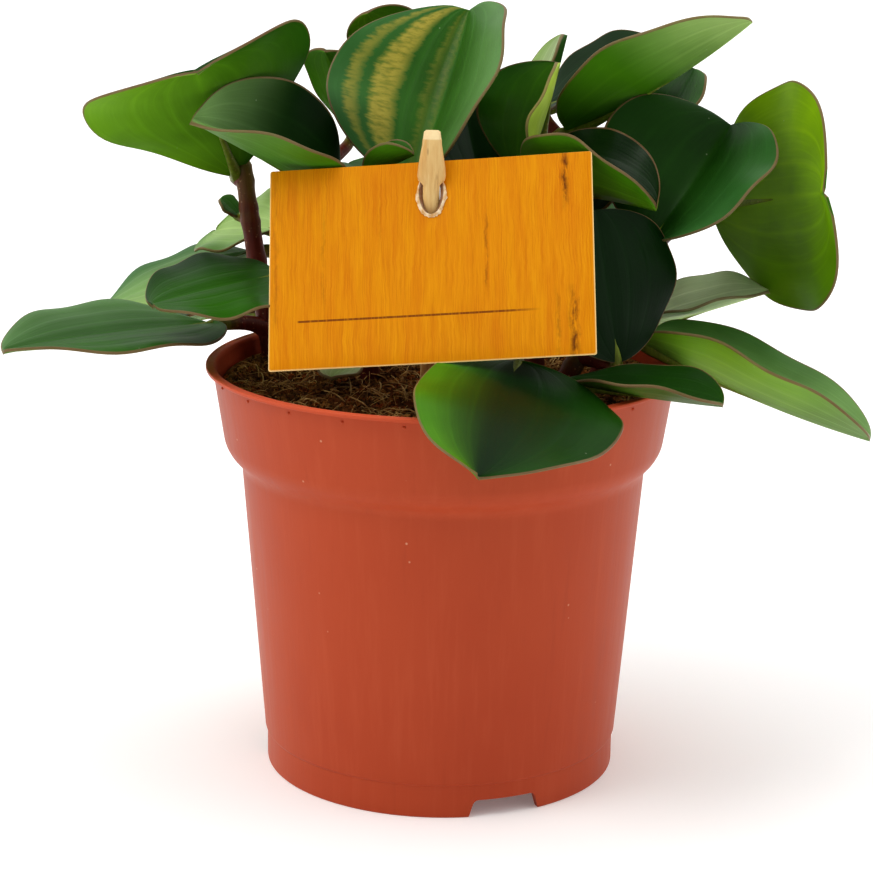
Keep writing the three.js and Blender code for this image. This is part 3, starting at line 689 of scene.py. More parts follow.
class PEPEROMIA_OT_leaves(bpy.types.Operator):
    """Makes every leaf with its petiole"""
    bl_idname = "peperomia.leaves"
    bl_label = "Leaves"

    def execute(self, context):
        sizes = context.scene.peperomia_leaf_sizes
        finishes = context.scene.peperomia_finishes
        plain = leaf_blade_material(finishes)
        striped = striped_blade_material(finishes)
        stalk = stalk_material("petiole_skin", tuple(finishes.stem_red), tuple(finishes.stem_green))
        for index, row in enumerate(LEAVES):
            name = row[0]
            shell = Shell()
            blade = add_blade(shell, row, sizes, index + 11)
            add_petiole(shell, row, blade, sizes)
            skin = striped if name == "striped" else plain
            piece = shell.build(f"Leaf_{name}", (skin, stalk), ("rim", "underside", "along"), ("skin",))
            settle(piece, "leaf", f"leaf_{name}")
        return {"FINISHED"}


# ------------------------------------------------------------------ stems

class PEPEROMIA_OT_stems(bpy.types.Operator):
    """Makes the stems with their swollen nodes and their growing tips"""
    bl_idname = "peperomia.stems"
    bl_label = "Stems"

    def execute(self, context):
        sizes = context.scene.peperomia_leaf_sizes
        finishes = context.scene.peperomia_finishes
        skin = stalk_material("stem_skin", tuple(finishes.stem_red), srgb(110, 116, 44))
        for number, (name, points) in enumerate(STEMS.items()):
            chance = random.Random(number + 3)
            joints = [row[2] for row in LEAVES if row[1] == name]
            joints += [spot / 5 + chance.uniform(-0.05, 0.05) for spot in range(1, 5)]
            reach = (Vector(points[3]) - Vector(points[0])).length
            bottom = sizes.stem_bottom / MM
            top = sizes.stem_top / MM
            shell = Shell()
            stations = []
            steps = 56
            for step in range(steps + 1):
                t = step / steps
                centre, _ = bezier(points, t)
                swell = sum(math.exp(-(((t - joint) * reach) / 1.5) ** 2) for joint in joints)
                radius = bottom + (top - bottom) * t + 0.35 * min(swell, 1.2)
                stations.append((centre, radius, {"along": t * 0.8}))
            tip, travel = bezier(points, 1)
            for rise, share in ((0.9, 0.85), (1.9, 0.55), (2.8, 0.28), (3.4, 0.12)):
                stations.append((tip + travel * rise, top * share, {"along": 0.95}))
            shell.tube(stations, 18)
            piece = shell.build(f"Stem_{name}", (skin,), ("along",))
            settle(piece, "stem", f"stem_{name}")
        return {"FINISHED"}


# ------------------------------------------------------------------ pot

FOOT_RADIUS = 48.6
NOTCHES, FIRST_NOTCH = 3, math.radians(-68.5)
DRAINS, DRAIN_CIRCLE = 6, 33


class PotSizes(bpy.types.PropertyGroup):
    """Sizes of the pot"""
    rim_radius: length("Rim", "Radius of the rim", 0.065)
    height: length("Height", "Height of the pot", 0.1133)
    wall: length("Wall", "Thickness of the wall", 0.0011)
    sides: IntProperty(name="Sides", description="Faces round the pot", default=160, min=32)
    nub_count: IntProperty(name="Nubs", description="Moulded nubs under the rim", default=24, min=1)
    nub_size: length("Nub size", "Radius of a nub", 0.00045)


def pot_material(finishes):
    """Satin moulded plastic with faint draw lines, a few pale specks and a painted highlight round the top of the rim.
    """
    material, g, shader = new_material("pot_plastic", tuple(finishes.pot_colour), Specular_IOR_Level=0.2)
    place = g.object_place()
    draw = g.noise(g.stretched(place, (1, 1, 0.03)), 330, 4, 0.6)
    cloud = g.noise(place, 14, 3)
    base = tuple(finishes.pot_colour)
    tone = g.mix(g.ramp(cloud, (0.3, 0), (0.72, 1)), base, srgb(172, 70, 38))
    tone = g.mix(g.ramp(draw, (0.5, 0), (0.8, 0.3)), tone, srgb(194, 96, 64))
    tone = g.mix(g.ramp(draw, (0.2, 0.3), (0.4, 0)), tone, srgb(150, 58, 30))
    # Lighter round the top of the rim: painted highlight where the rim faces the light from above
    high = g.rise(g.parts(place)[2], 0.1118, 0.1133)
    tone = g.mix(g.math("MULTIPLY", high, 0.6), tone, srgb(216, 96, 62))
    specks = g.dots(place, 110.0)
    tone = g.mix(g.ramp(specks, (0.02, 0.6), (0.045, 0)), tone, srgb(212, 170, 140))
    grain = g.math("MULTIPLY_ADD", g.noise(place, 2200, 2), 0.25, draw)
    g.finish(shader, tone, grain, 0.18, 0.0003, g.math("MULTIPLY_ADD", draw, 0.22, 0.32))
    return material


def rounded(profile, sizes):
    """A profile with each corner replaced by a short arc of the given size."""
    result = []
    for index, corner in enumerate(profile):
        size = sizes[index]
        if not size or index in (0, len(profile) - 1):
            result.append(corner)
            continue
        here = Vector(corner)
        back = Vector(profile[index - 1]) - here
        ahead = Vector(profile[index + 1]) - here
        reach = min(size, back.length * 0.45, ahead.length * 0.45)
        a = here + back.normalized() * reach
        b = here + ahead.normalized() * reach
        for step in range(4):
            t = step / 3
            result.append(tuple(a * (1 - t) ** 2 + here * (2 * t * (1 - t)) + b * t ** 2))
    return result


def turned(profile, sides):
    """A shell turned about the Z axis from a profile that starts and ends on the axis."""
    shell = Shell()
    shell.loft([shell.circle(radius, z, sides) for radius, z in profile[1:-1]])
    return shell


def notch_cutter(angle):
    """A rounded trapezium across the foot."""
    half, height, corner, slope, reach = 10.1, 4.8, 1.6, 1, 4
    outline = [(-half, -1), (half, -1), (half, 0), (half - slope, height - corner)]
    outline += [(half - 1.1 - corner * (1 - math.cos(a)), height - corner * (1 - math.sin(a)))
                for a in (0.4, 0.8, 1.2, math.pi / 2)]
    outline += [(-x, z) for x, z in reversed(outline[1:])][:-1]
    shell = Shell()
    turn = Matrix.Rotation(angle + math.pi / 2, 3, "Z")
    shell.loft([[shell.point(turn @ Vector((x, y, z))) for x, z in outline]
                for y in (-FOOT_RADIUS - reach, -FOOT_RADIUS + reach)])
    return shell


def drain_cutter(radius, x, y):
    """A round bar through the pot's floor."""
    shell = Shell()
    shell.loft([shell.circle(radius, z, 24, x, y) for z in (4, 12)])
    return shell


def nub_tree(material):
    """Geometry Nodes: a ring of small moulded nubs under the rim, joined to the pot."""
    g, sockets, given = new_tree("rim_nubs", Count="Int", Ring_radius="Float", Height="Float", Nub_radius="Float")
    ring = g.get("GeometryNodeMeshCircle", {"Vertices": given["Count"], "Radius": given["Ring radius"]})
    lifted = g.get("ShaderNodeCombineXYZ", {"Z": given["Height"]})
    turned_ring = g.get("GeometryNodeTransform", {
        "Geometry": ring, "Translation": lifted, "Rotation": (0, 0, math.radians(6))})
    nub = g.get("GeometryNodeMeshIcoSphere", {"Radius": given["Nub radius"], "Subdivisions": 2})
    spread = g.get("GeometryNodeInstanceOnPoints", {"Points": turned_ring, "Instance": nub})
    joined = g.add("GeometryNodeJoinGeometry")
    for geometry in (given["Geometry"], g.get("GeometryNodeRealizeInstances", {0: spread})):
        g.set(joined.inputs[0], geometry)
    finish = g.get("GeometryNodeSetMaterial", {"Geometry": joined.outputs[0], "Material": material})
    g.add("NodeGroupOutput", {0: finish})
    return g, sockets


class PEPEROMIA_OT_pot(bpy.types.Operator):
    """Makes the moulded nursery pot with its foot notches, drain holes and nubs"""
    bl_idname = "peperomia.pot"
    bl_label = "Nursery pot"

    def execute(self, context):
        sizes = context.scene.peperomia_pot_sizes
        rim = sizes.rim_radius / MM
        top = sizes.height / MM
        wall = sizes.wall / MM
        material = pot_material(context.scene.peperomia_finishes)
        profile = [
            (0, 7.6), (46.2, 7.6), (46.2, 0), (FOOT_RADIUS, 0), (FOOT_RADIUS, 9.0), (49.2, 9.6), (55.3, 84.9),
            (56.2, 86.7), (58.6, 89.2), (60, 92), (63.1, top - wall), (rim, top - wall), (rim, top),
            (62.6, top), (62.0, top - wall), (58.9, 92.4), (54.2, 85.4), (48.1, 9.2), (0, 9.2),
        ]
        corners = [0, 0.5, 0.4, 0.6, 0.3, 0.4, 1.2, 1.4, 1.6, 1.4, 0.5, 0.45, 0.45, 0.5, 0.5, 1.2, 1.2, 0.8, 0]
        pot = turned(rounded(profile, corners), sizes.sides).build("Pot", (material,))
        cutters = []
        for index in range(NOTCHES):
            cutter = notch_cutter(FIRST_NOTCH + math.tau * index / NOTCHES)
            cutters.append(cutter.build(f"cutter_{index}", ()))
        for index in range(DRAINS):
            angle = math.tau * index / DRAINS
            cutter = drain_cutter(3.5, DRAIN_CIRCLE * math.cos(angle), DRAIN_CIRCLE * math.sin(angle))
            cutters.append(cutter.build(f"drain_{index}", ()))
        cutters.append(drain_cutter(5, 0, 0).build("drain_middle", ()))
        for cutter in cutters:
            cut = pot.modifiers.new("cut", "BOOLEAN")
            cut.operation = "DIFFERENCE"
            cut.solver = "EXACT"
            cut.object = cutter
        baked(pot)
        for cutter in cutters:
            mesh = cutter.data
            bpy.data.objects.remove(cutter)
            bpy.data.meshes.remove(mesh)
        run_tree(pot, *nub_tree(material), Count=sizes.nub_count, Ring_radius=0.0628, Height=0.1105,
                 Nub_radius=sizes.nub_size)
        pot.data.polygons.foreach_set("use_smooth", [True] * len(pot.data.polygons))
        soften(pot, 32)
        settle(pot, "pot", "pot")
        return {"FINISHED"}


def soften(piece, degrees):
    """Smooth shading, with edges sharper than the given angle kept crisp."""
    mesh = piece.data
    work = bmesh.new()
    work.from_mesh(mesh)
    limit = math.radians(degrees)
    for edge in work.edges:
        edge.smooth = len(edge.link_faces) != 2 or edge.calc_face_angle(0) < limit
    work.to_mesh(mesh)
    work.free()


# ------------------------------------------------------------------ soil

SOIL_RADIUS = 60.4
BANK, BANK_MORE_LEFT, BANK_FROM = 4, 1.5, 0.72  # heights of the bank, and where it starts (share of the radius)


class SoilSizes(bpy.types.PropertyGroup):
    """Sizes of the soil and of what lies in it"""
    edge: length("Edge", "Height of the soil at the pot's wall", 0.105)
    mound: length("Mound", "How far the middle rises above the edge", 0.003)
    crumbs: FloatProperty(name="Crumbs", description="Crumbs for each square metre", default=420000)
    fibres: FloatProperty(name="Fibres", description="Fibres for each square metre", default=80000)
    bark: FloatProperty(name="Bark", description="Bark pieces for each square metre", default=20000)
    seed: IntProperty(name="Seed", description="Chance pattern of the crumbs", default=7)


def soil_height(x, y, edge, sizes):
    """Height of the soil's top: a low mound with gentle lumps, banked up against the wall."""
    radius = math.hypot(x, y) / edge
    lumps = math.sin(0.19 * x + 1.1) * math.cos(0.23 * y - 0.4)
    bank = max(radius - BANK_FROM, 0) / (1 - BANK_FROM)
    heaped = BANK + BANK_MORE_LEFT * max(-x / edge, 0)
    return sizes.edge / MM + sizes.mound / MM * (1 - radius * radius) + heaped * bank * bank + 0.6 * lumps


def peat_material(name, dark, light, red):
    """Damp peat that varies from crumb to crumb, with painted shade in the low hollows of its grain."""
    material, g, shader = new_material(name, dark, Roughness=0.9, Specular_IOR_Level=0.15)
    place = g.object_place()
    cells = g.add("ShaderNodeTexVoronoi", {"Vector": place, "Scale": 420.0}).outputs["Color"]
    pick = g.add("ShaderNodeSeparateColor", {0: cells}).outputs
    grain = g.noise(place, 1300, 4)
    tone = g.mix(g.ramp(pick[0], (0.35, 0), (0.95, 1)), dark, light)
    tone = g.mix(g.ramp(pick[1], (0.8, 0), (0.95, 0.8)), tone, red)
    # Darker where the grain is low: painted shade in the hollows
    tone = g.mix(g.ramp(grain, (0.34, 0.8), (0.56, 0)), tone, srgb(22, 15, 9))
    g.finish(shader, tone, grain, 0.8, 0.0008)
    return material


def fibre_material():
    """Straw-coloured fibre."""
    material, g, shader = new_material("straw_fibre", srgb(176, 140, 92), Roughness=0.75)
    place = g.object_place()
    patches = g.noise(place, 220, 2)
    tone = g.mix(g.ramp(patches, (0.35, 0), (0.65, 1)), srgb(150, 104, 48), srgb(226, 190, 124))
    g.finish(shader, tone, g.noise(place, 2400, 2), 0.4, 0.0002)
    return material


def litter_tree(crumb, bark, fibre):
    """Geometry Nodes: crumbs, bark pieces and fibres strewn on the soil's top, with a fixed seed."""
    g, sockets, given = new_tree("soil_litter", Crumbs="Float", Bark="Float", Fibres="Float", Seed="Int")
    upright = g.parts(g.get("GeometryNodeInputNormal"))[2]
    place = g.get("GeometryNodeInputPosition")
    flat = g.get("ShaderNodeVectorMath", {0: place, 1: (1, 1, 0)}, operation="MULTIPLY")
    from_axis = g.add("ShaderNodeVectorMath", {0: flat}, operation="LENGTH").outputs["Value"]
    lying = g.math("GREATER_THAN", upright, 0.6)

    def strewn(shape, density, seed_shift, low, high, tilt, reach):
        """Copies of a shape up to a distance from the axis, with chance sizes and turns."""
        own_seed = g.math("ADD", given["Seed"], float(seed_shift))
        on_top = g.math("MULTIPLY", lying, g.math("LESS_THAN", from_axis, reach))
        points = g.get("GeometryNodeDistributePointsOnFaces", {
            "Mesh": given["Geometry"], "Selection": on_top, "Density": density, "Seed": own_seed})
        turn, size = (
            g.get("FunctionNodeRandomValue", {0: least, 1: most, "Seed": own_seed}, data_type="FLOAT_VECTOR")
            for least, most in (((-tilt, -tilt, 0), (tilt, tilt, math.tau)), (low, high)))
        spread = g.get("GeometryNodeInstanceOnPoints", {
            "Points": points, "Instance": shape, "Rotation": turn, "Scale": size})
        return g.get("GeometryNodeRealizeInstances", {0: spread})

    rough = g.add("ShaderNodeTexNoise", {"Vector": place, "Scale": 900.0}).outputs["Color"]
    centred = g.get("ShaderNodeVectorMath", {0: rough, 1: (0.5, 0.5, 0.5)}, operation="SUBTRACT")
    pushed = g.get("ShaderNodeVectorMath", {0: centred, "Scale": 0.0016}, operation="SCALE")
    lump = g.get("GeometryNodeMeshIcoSphere", {"Radius": 0.001, "Subdivisions": 1})
    crumbs = strewn(lump, given["Crumbs"], 0, (0.5, 0.5, 0.4), (1.5, 1.3, 1.0), 3.0, 0.058)
    crumbs = g.get("GeometryNodeSetPosition", {"Geometry": crumbs, "Offset": pushed})
    chip = g.get("GeometryNodeMeshCube", {"Size": (0.0034, 0.0015, 0.0007)})
    chips = strewn(chip, given["Bark"], 1, (0.5, 0.6, 0.6), (1.9, 2.0, 1.8), 0.8, 0.0562)
    chips = g.get("GeometryNodeSetPosition", {"Geometry": chips, "Offset": pushed})
    strand = g.get("GeometryNodeCurveQuadraticBezier", {
        "Resolution": 6, "Start": (-0.004, 0, 0), "Middle": (0.0005, 0.0012, 0.0022), "End": (0.004, -0.0006, 0.0004)})
    section = g.get("GeometryNodeCurvePrimitiveCircle", {"Resolution": 4, "Radius": 0.00013})
    thread = g.get("GeometryNodeCurveToMesh", {"Curve": strand, "Profile Curve": section, "Fill Caps": True})
    clumps = g.ramp(g.noise(place, 95, 2), (0.42, 0.15), (0.62, 1))
    crowded = g.math("MULTIPLY", g.math("MULTIPLY", clumps, 2.4), given["Fibres"])
    threads = strewn(thread, crowded, 2, (0.3, 0.5, 0.3), (1.5, 1.7, 1.5), 0.7, 0.0545)
    peaty = g.math("LESS_THAN", g.get("GeometryNodeInputMaterialIndex"), 0.5)
    joined = g.add("GeometryNodeJoinGeometry")
    for geometry, material, chosen in ((given["Geometry"], crumb, peaty), (crumbs, crumb, True), (chips, bark, True),
                                       (threads, fibre, True)):
        finish = {"Geometry": geometry, "Selection": chosen, "Material": material}
        g.set(joined.inputs[0], g.get("GeometryNodeSetMaterial", finish))
    g.add("NodeGroupOutput", {0: joined.outputs[0]})
    return g, sockets


# Long loose hairs on the soil: one end, the other end (millimetres), and how far the middle bows up
HAIRS = (
    ((-57, 14, 109.5), (-50, 8, 108.2), 0.6),
    ((-47, 9, 108.4), (-41, -1, 108.2), 0.5),
    ((-40.6, 0, 108), (-40.2, 1, 111.2), 0.2),
    ((-36, -16, 107.6), (-28, -19, 109.4), 0.8),
    ((-31, -20, 108), (-29, -24, 111), 0.3),
    ((-14, -34, 108), (-6, -38, 108.2), 0.6),
    ((12, -44, 108.2), (22, -41, 108.4), 0.9),
    ((36, -30, 107.8), (44, -24, 109), 0.7),
)


class PEPEROMIA_OT_soil(bpy.types.Operator):
    """Makes the peat with its crumbs, bark and fibres"""
    bl_idname = "peperomia.soil"
    bl_label = "Soil"

    def execute(self, context):
        sizes = context.scene.peperomia_soil_sizes
        finishes = context.scene.peperomia_finishes
        shell = Shell()
        sides, steps = 96, 30
        levels = ((47.8, 9.5), (53.9, 85.4), (58.6, 92.4), (SOIL_RADIUS, sizes.edge / MM + BANK - 0.6))
        rings = [shell.circle(radius, z, sides) for radius, z in levels]
        for step in range(1, steps):
            radius = SOIL_RADIUS * (1 - step / steps)
            ring = []
            for side in range(sides):
                angle = math.tau * side / sides
                x, y = radius * math.cos(angle), radius * math.sin(angle)
                rough = noise.noise(Vector((x, y, 0)) * 0.32) * 0.7 + noise.noise(Vector((x, y, 9)) * 0.9) * 0.4
                ring.append(shell.point((x, y, soil_height(x, y, SOIL_RADIUS, sizes) + rough - 0.4)))
            rings.append(ring)
        shell.loft(rings)
        crumb = peat_material("peat", tuple(finishes.peat_colour), srgb(186, 136, 74), srgb(196, 108, 44))
        bark = peat_material("bark", srgb(112, 66, 34), srgb(186, 128, 70), srgb(190, 98, 44))
        straw = fibre_material()
        for start, end, bow in HAIRS:
            first, last = Vector(start), Vector(end)
            stations = []
            for step in range(9):
                share = step / 8
                centre = first.lerp(last, share) + Vector((0, 0, bow * math.sin(math.pi * share)))
                stations.append((centre, 0.11, {}))
            shell.tube(stations, 5, material=1)
        piece = shell.build("Soil", (crumb, straw))
        run_tree(piece, *litter_tree(crumb, bark, straw), Crumbs=sizes.crumbs, Bark=sizes.bark,
                 Fibres=sizes.fibres, Seed=sizes.seed)
        settle(piece, "soil", "soil")
        return {"FINISHED"}


# ------------------------------------------------------------------ card and stake

CARD_CENTRE = (-4, -30.1, 146.7)
CARD_TURN = Euler((math.radians(-29.1), math.radians(-6.3), math.radians(-10.3)), "XYZ")
HOLE = Vector((0.4, 19.1))  # middle of the hole, from the card's centre
CORNER = 0.5  # rounding of the card's corners
STAKE_LEAN = math.radians(-2)
STAKE_IN_SOIL = 11
SOIL_LEVEL = 105  # height of the soil where the stake stands
FACET_FROM = 13.9  # height on the stake's head where its slanted top starts

# Dark cracks of the wood print: place across the card, half width, lower and upper end, strength
CRACKS = (
    (0.915, 0.004, 0.76, 1.02, 0.95), (0.934, 0.005, -0.02, 0.3, 0.95), (0.885, 0.0025, 0.0, 0.3, 0.4),
    (0.672, 0.0018, 0.36, 0.7, 0.5), (0.17, 0.0025, 0.3, 0.8, 0.22), (0.02, 0.003, 0.2, 0.95, 0.25),
    (0.345, 0.0018, 0.6, 0.8, 0.15), (0.52, 0.0018, 0.8, 1.0, 0.12),
)


class LabelSizes(bpy.types.PropertyGroup):
    """Sizes of the card and the stake"""
    width: length("Card width", "Width of the card", 0.085)
    height: length("Card height", "Height of the card", 0.055)
    thickness: length("Card thickness", "Thickness of the card", 0.0006)
    hole_width: length("Hole width", "Half width of the hole", 0.0034)
    hole_height: length("Hole height", "Half height of the hole", 0.0064)


def card_matrix():
    """Turns and places the card: first about X, then about Y, then about Z."""
    turn = Matrix.Rotation(CARD_TURN.z, 3, "Z") @ Matrix.Rotation(CARD_TURN.x, 3, "X")
    return turn @ Matrix.Rotation(CARD_TURN.y, 3, "Y")


def on_card(x, y, z):
    """A place given on the card (x to the right, y to the back, z up from its centre)."""
    return card_matrix() @ Vector((x, y, z)) + Vector(CARD_CENTRE)


def card_material(finishes):
    """Orange wood print: upright grain, darker cracks near the edges and one thin ruled line."""
    base = tuple(finishes.card_colour)
    material, g, shader = new_material("card_print", base, Specular_IOR_Level=0.1)
    uv = g.uv_place()
    x, z, _ = g.parts(uv)
    swayed = g.math("MULTIPLY_ADD", g.noise(g.stretched(uv, (4, 6, 1)), 1.0, 3, 0.6), 0.02, x)
    fibres = g.get("ShaderNodeCombineXYZ", {0: swayed, 1: z})
    grain = g.noise(g.stretched(fibres, (230, 3.2, 1)), 1.0, 5, 0.7)
    broad = g.noise(g.stretched(fibres, (26, 1.8, 1)), 1.0, 4, 0.6)
    tone = g.mix(g.ramp(broad, (0.34, 0), (0.66, 1)), base, srgb(212, 128, 5))
    tone = g.mix(g.ramp(grain, (0.46, 0), (0.68, 0.4)), tone, srgb(242, 172, 28))
    tone = g.mix(g.ramp(grain, (0.3, 0.5), (0.48, 0)), tone, srgb(188, 102, 5))
    drift = g.math("SUBTRACT", g.noise(g.stretched(uv, (3, 14, 1)), 1.0, 4, 0.6), 0.5)
    torn = g.ramp(g.noise(g.stretched(uv, (60, 9, 1)), 1.0, 4, 0.7), (0.4, 0), (0.56, 1))
    soft = 0.06  # how softly a crack runs out at its ends

    def product(a, b, c, d):
        return g.math("MULTIPLY", g.math("MULTIPLY", a, b), g.math("MULTIPLY", c, d))

    for where, width, low, high, strength in CRACKS:
        strayed = g.math("ADD", g.math("SUBTRACT", x, where), g.math("MULTIPLY", drift, 0.03))
        offset = g.math("DIVIDE", g.math("ABSOLUTE", strayed), width * 4)
        line = g.ramp(offset, (0, 1), (0.35, 0.6), (1, 0))
        mask = product(g.rise(z, low - soft, low + soft), g.rise(z, high + soft, high - soft), line, torn)
        tone = g.mix(g.math("MULTIPLY", mask, strength), tone, srgb(96, 44, 10))
    rule = g.math("ABSOLUTE", g.math("SUBTRACT", z, 0.236))
    ink = g.ramp(g.math("DIVIDE", rule, 0.02), (0.22, 1), (0.3, 0))
    worn = g.ramp(g.noise(g.stretched(uv, (120, 8, 1)), 1.0, 3), (0.3, 0.5), (0.5, 1))
    line = product(ink, g.rise(x, 0.088, 0.094), g.rise(x, 0.84, 0.74), worn)
    tone = g.mix(g.math("MULTIPLY", line, 0.85), tone, srgb(110, 52, 14))
    tone = g.mix(g.value("cut"), tone, srgb(250, 222, 160))
    g.finish(shader, tone, g.math("ADD", grain, torn), 0.12, 0.0002, g.math("MULTIPLY_ADD", grain, 0.2, 0.38))
    return material


def torn_paper_material():
    """Pale torn fibres round the hole, dark brown on their side that faces into the hole as painted shade."""
    material, g, shader = new_material("torn_paper", srgb(238, 210, 168), Roughness=0.85)
    place = g.object_place()
    patches = g.noise(place, 700, 4)
    tone = g.mix(g.ramp(patches, (0.35, 0), (0.7, 1)), srgb(212, 164, 104), srgb(250, 232, 200))
    # The side facing into the hole turns dark brown: painted shade inside the hole
    tone = g.mix(g.value("inner"), tone, srgb(112, 62, 30))
    g.finish(shader, tone, g.noise(place, 2600, 3), 0.7, 0.0003)
    return material


class PEPEROMIA_OT_card(bpy.types.Operator):
    """Makes the card with its torn oval hole"""
    bl_idname = "peperomia.card"
    bl_label = "Card"

    def execute(self, context):
        sizes = context.scene.peperomia_label_sizes
        finishes = context.scene.peperomia_finishes
        half_width = sizes.width / MM / 2
        half_height = sizes.height / MM / 2
        half_thick = sizes.thickness / MM / 2
        oval = (sizes.hole_width / MM, sizes.hole_height / MM)

        # Directions from the hole, with one at each corner of the card
        angles = [math.tau * step / 96 for step in range(96)]
        for sx in (-1, 1):
            for sz in (-1, 1):
                for ex, ez in ((0, CORNER), (CORNER * 0.3, CORNER * 0.3), (CORNER, 0)):
                    rise, run = sz * (half_height - ez) - HOLE.y, sx * (half_width - ex) - HOLE.x
                    angles.append(math.atan2(rise, run) % math.tau)
        outline = []
        for angle in sorted(set(round(angle, 6) for angle in angles)):
            c, s = math.cos(angle), math.sin(angle)
            reach = min((math.copysign(half_width, c) - HOLE.x) / c if abs(c) > 1e-9 else 1e9,
                        (math.copysign(half_height, s) - HOLE.y) / s if abs(s) > 1e-9 else 1e9)
            x, z = HOLE.x + reach * c, HOLE.y + reach * s
            over = max(abs(x) - (half_width - CORNER), 0) + max(abs(z) - (half_height - CORNER), 0) - CORNER
            if over > 0:
                x -= math.copysign(over * 0.3, x)
                z -= math.copysign(over * 0.3, z)
            outline.append(((HOLE.x + oval[0] * c, HOLE.y + oval[1] * s), (x, z)))

        shell = Shell()

        def ring_at(share, side):
            """A ring on the front (-1) or the back (1), from the hole's edge at 0 to the card's at 1."""
            ring = []
            y = side * half_thick * (0.6 if share in (0, 1) else 1)
            for inner, outer in outline:
                x = inner[0] + (outer[0] - inner[0]) * share
                z = inner[1] + (outer[1] - inner[1]) * share
                warp = 0.25 * math.sin(math.pi * (x / half_width * 0.5 + 0.5)) - 0.12
                uv = ((x + half_width) / (2 * half_width), (z + half_height) / (2 * half_height))
                ring.append(shell.point(on_card(x, y + warp, z), uv=uv, cut=float(share == 1)))
            return ring

        shares = (0, 0.02, 0.12, 0.3, 0.5, 0.7, 0.9, 0.99, 1)
        rings = [ring_at(share, -1) for share in shares] + [ring_at(share, 1) for share in reversed(shares)]
        shell.loft(rings + rings[:1], caps=False)

        # A ragged lip of torn fibres round the lower part of the hole, proud of the front
        chance = random.Random(5)
        lip = []
        for step in range(72):
            angle = math.tau * step / 72
            c, s = math.cos(angle), math.sin(angle)
            low = min(max((0.45 - s) / 0.7, 0.12), 1)
            ragged = noise.noise(Vector((c * 2.1, s * 2.1, 3)))
            width = (0.75 + 0.5 * ragged + chance.uniform(-0.12, 0.25)) * low
            proud = (0.34 + 0.2 * noise.noise(Vector((c * 3, s * 3, 8)))) * low
            inward = -0.2 - 0.85 * abs(c) ** 1.5
            # The last number marks the side facing into the hole, which the torn paper darkens as painted shade
            section = ((inward, 0.3, 1), (inward, 0.1, 1), (-0.2, -0.1, 0.7), (-0.08, -proud, 0),
                       (width * 0.45, -proud * 0.9, 0), (width, -0.02, 0), (width * 0.4, 0.3, 0))
            ring = []
            for out, y, inner in section:
                place = on_card(HOLE.x + (oval[0] + out) * c, y - half_thick, HOLE.y + (oval[1] + out) * s)
                ring.append(shell.point(place, uv=(0.5, 0.5), inner=inner))
            lip.append(ring)
        shell.loft(lip + lip[:1], material=1, caps=False)
        piece = shell.build("Label_card", (card_material(finishes), torn_paper_material()), ("cut", "inner"))
        soften(piece, 50)
        settle(piece, "card", "label_card")
        return {"FINISHED"}


def wood_material(finishes):
    """Pale wood with grain along it and darker knife-cut hollows."""
    base = tuple(finishes.wood_colour)
    material, g, shader = new_material("stake_wood", base, Specular_IOR_Level=0.15)
    place = g.object_place()
    grain = g.noise(g.stretched(place, (1, 1, 0.06)), 1400, 5, 0.6)
    broad = g.noise(g.stretched(place, (1, 1, 0.12)), 340, 3)
    tone = g.mix(g.ramp(broad, (0.35, 0), (0.7, 0.9)), base, srgb(212, 160, 92))
    tone = g.mix(g.ramp(grain, (0.28, 0.6), (0.46, 0)), tone, srgb(186, 138, 82))
    tone = g.mix(g.ramp(grain, (0.55, 0), (0.8, 0.6)), tone, srgb(246, 222, 170))
    marks = g.dots(g.stretched(place, (1, 1, 0.3)), 420.0)
    tone = g.mix(g.ramp(marks, (0.06, 0.45), (0.16, 0)), tone, srgb(150, 100, 56))
    damp = g.rise(g.parts(place)[2], 0.116, 0.108)
    tone = g.mix(g.math("MULTIPLY", damp, 0.7), tone, srgb(110, 78, 48))
    tone = g.mix(g.math("MULTIPLY", g.value("facet"), 0.55), tone, srgb(250, 230, 186))
    g.finish(shader, tone, grain, 0.4, 0.0003, g.math("MULTIPLY_ADD", grain, 0.2, 0.55))
    return material


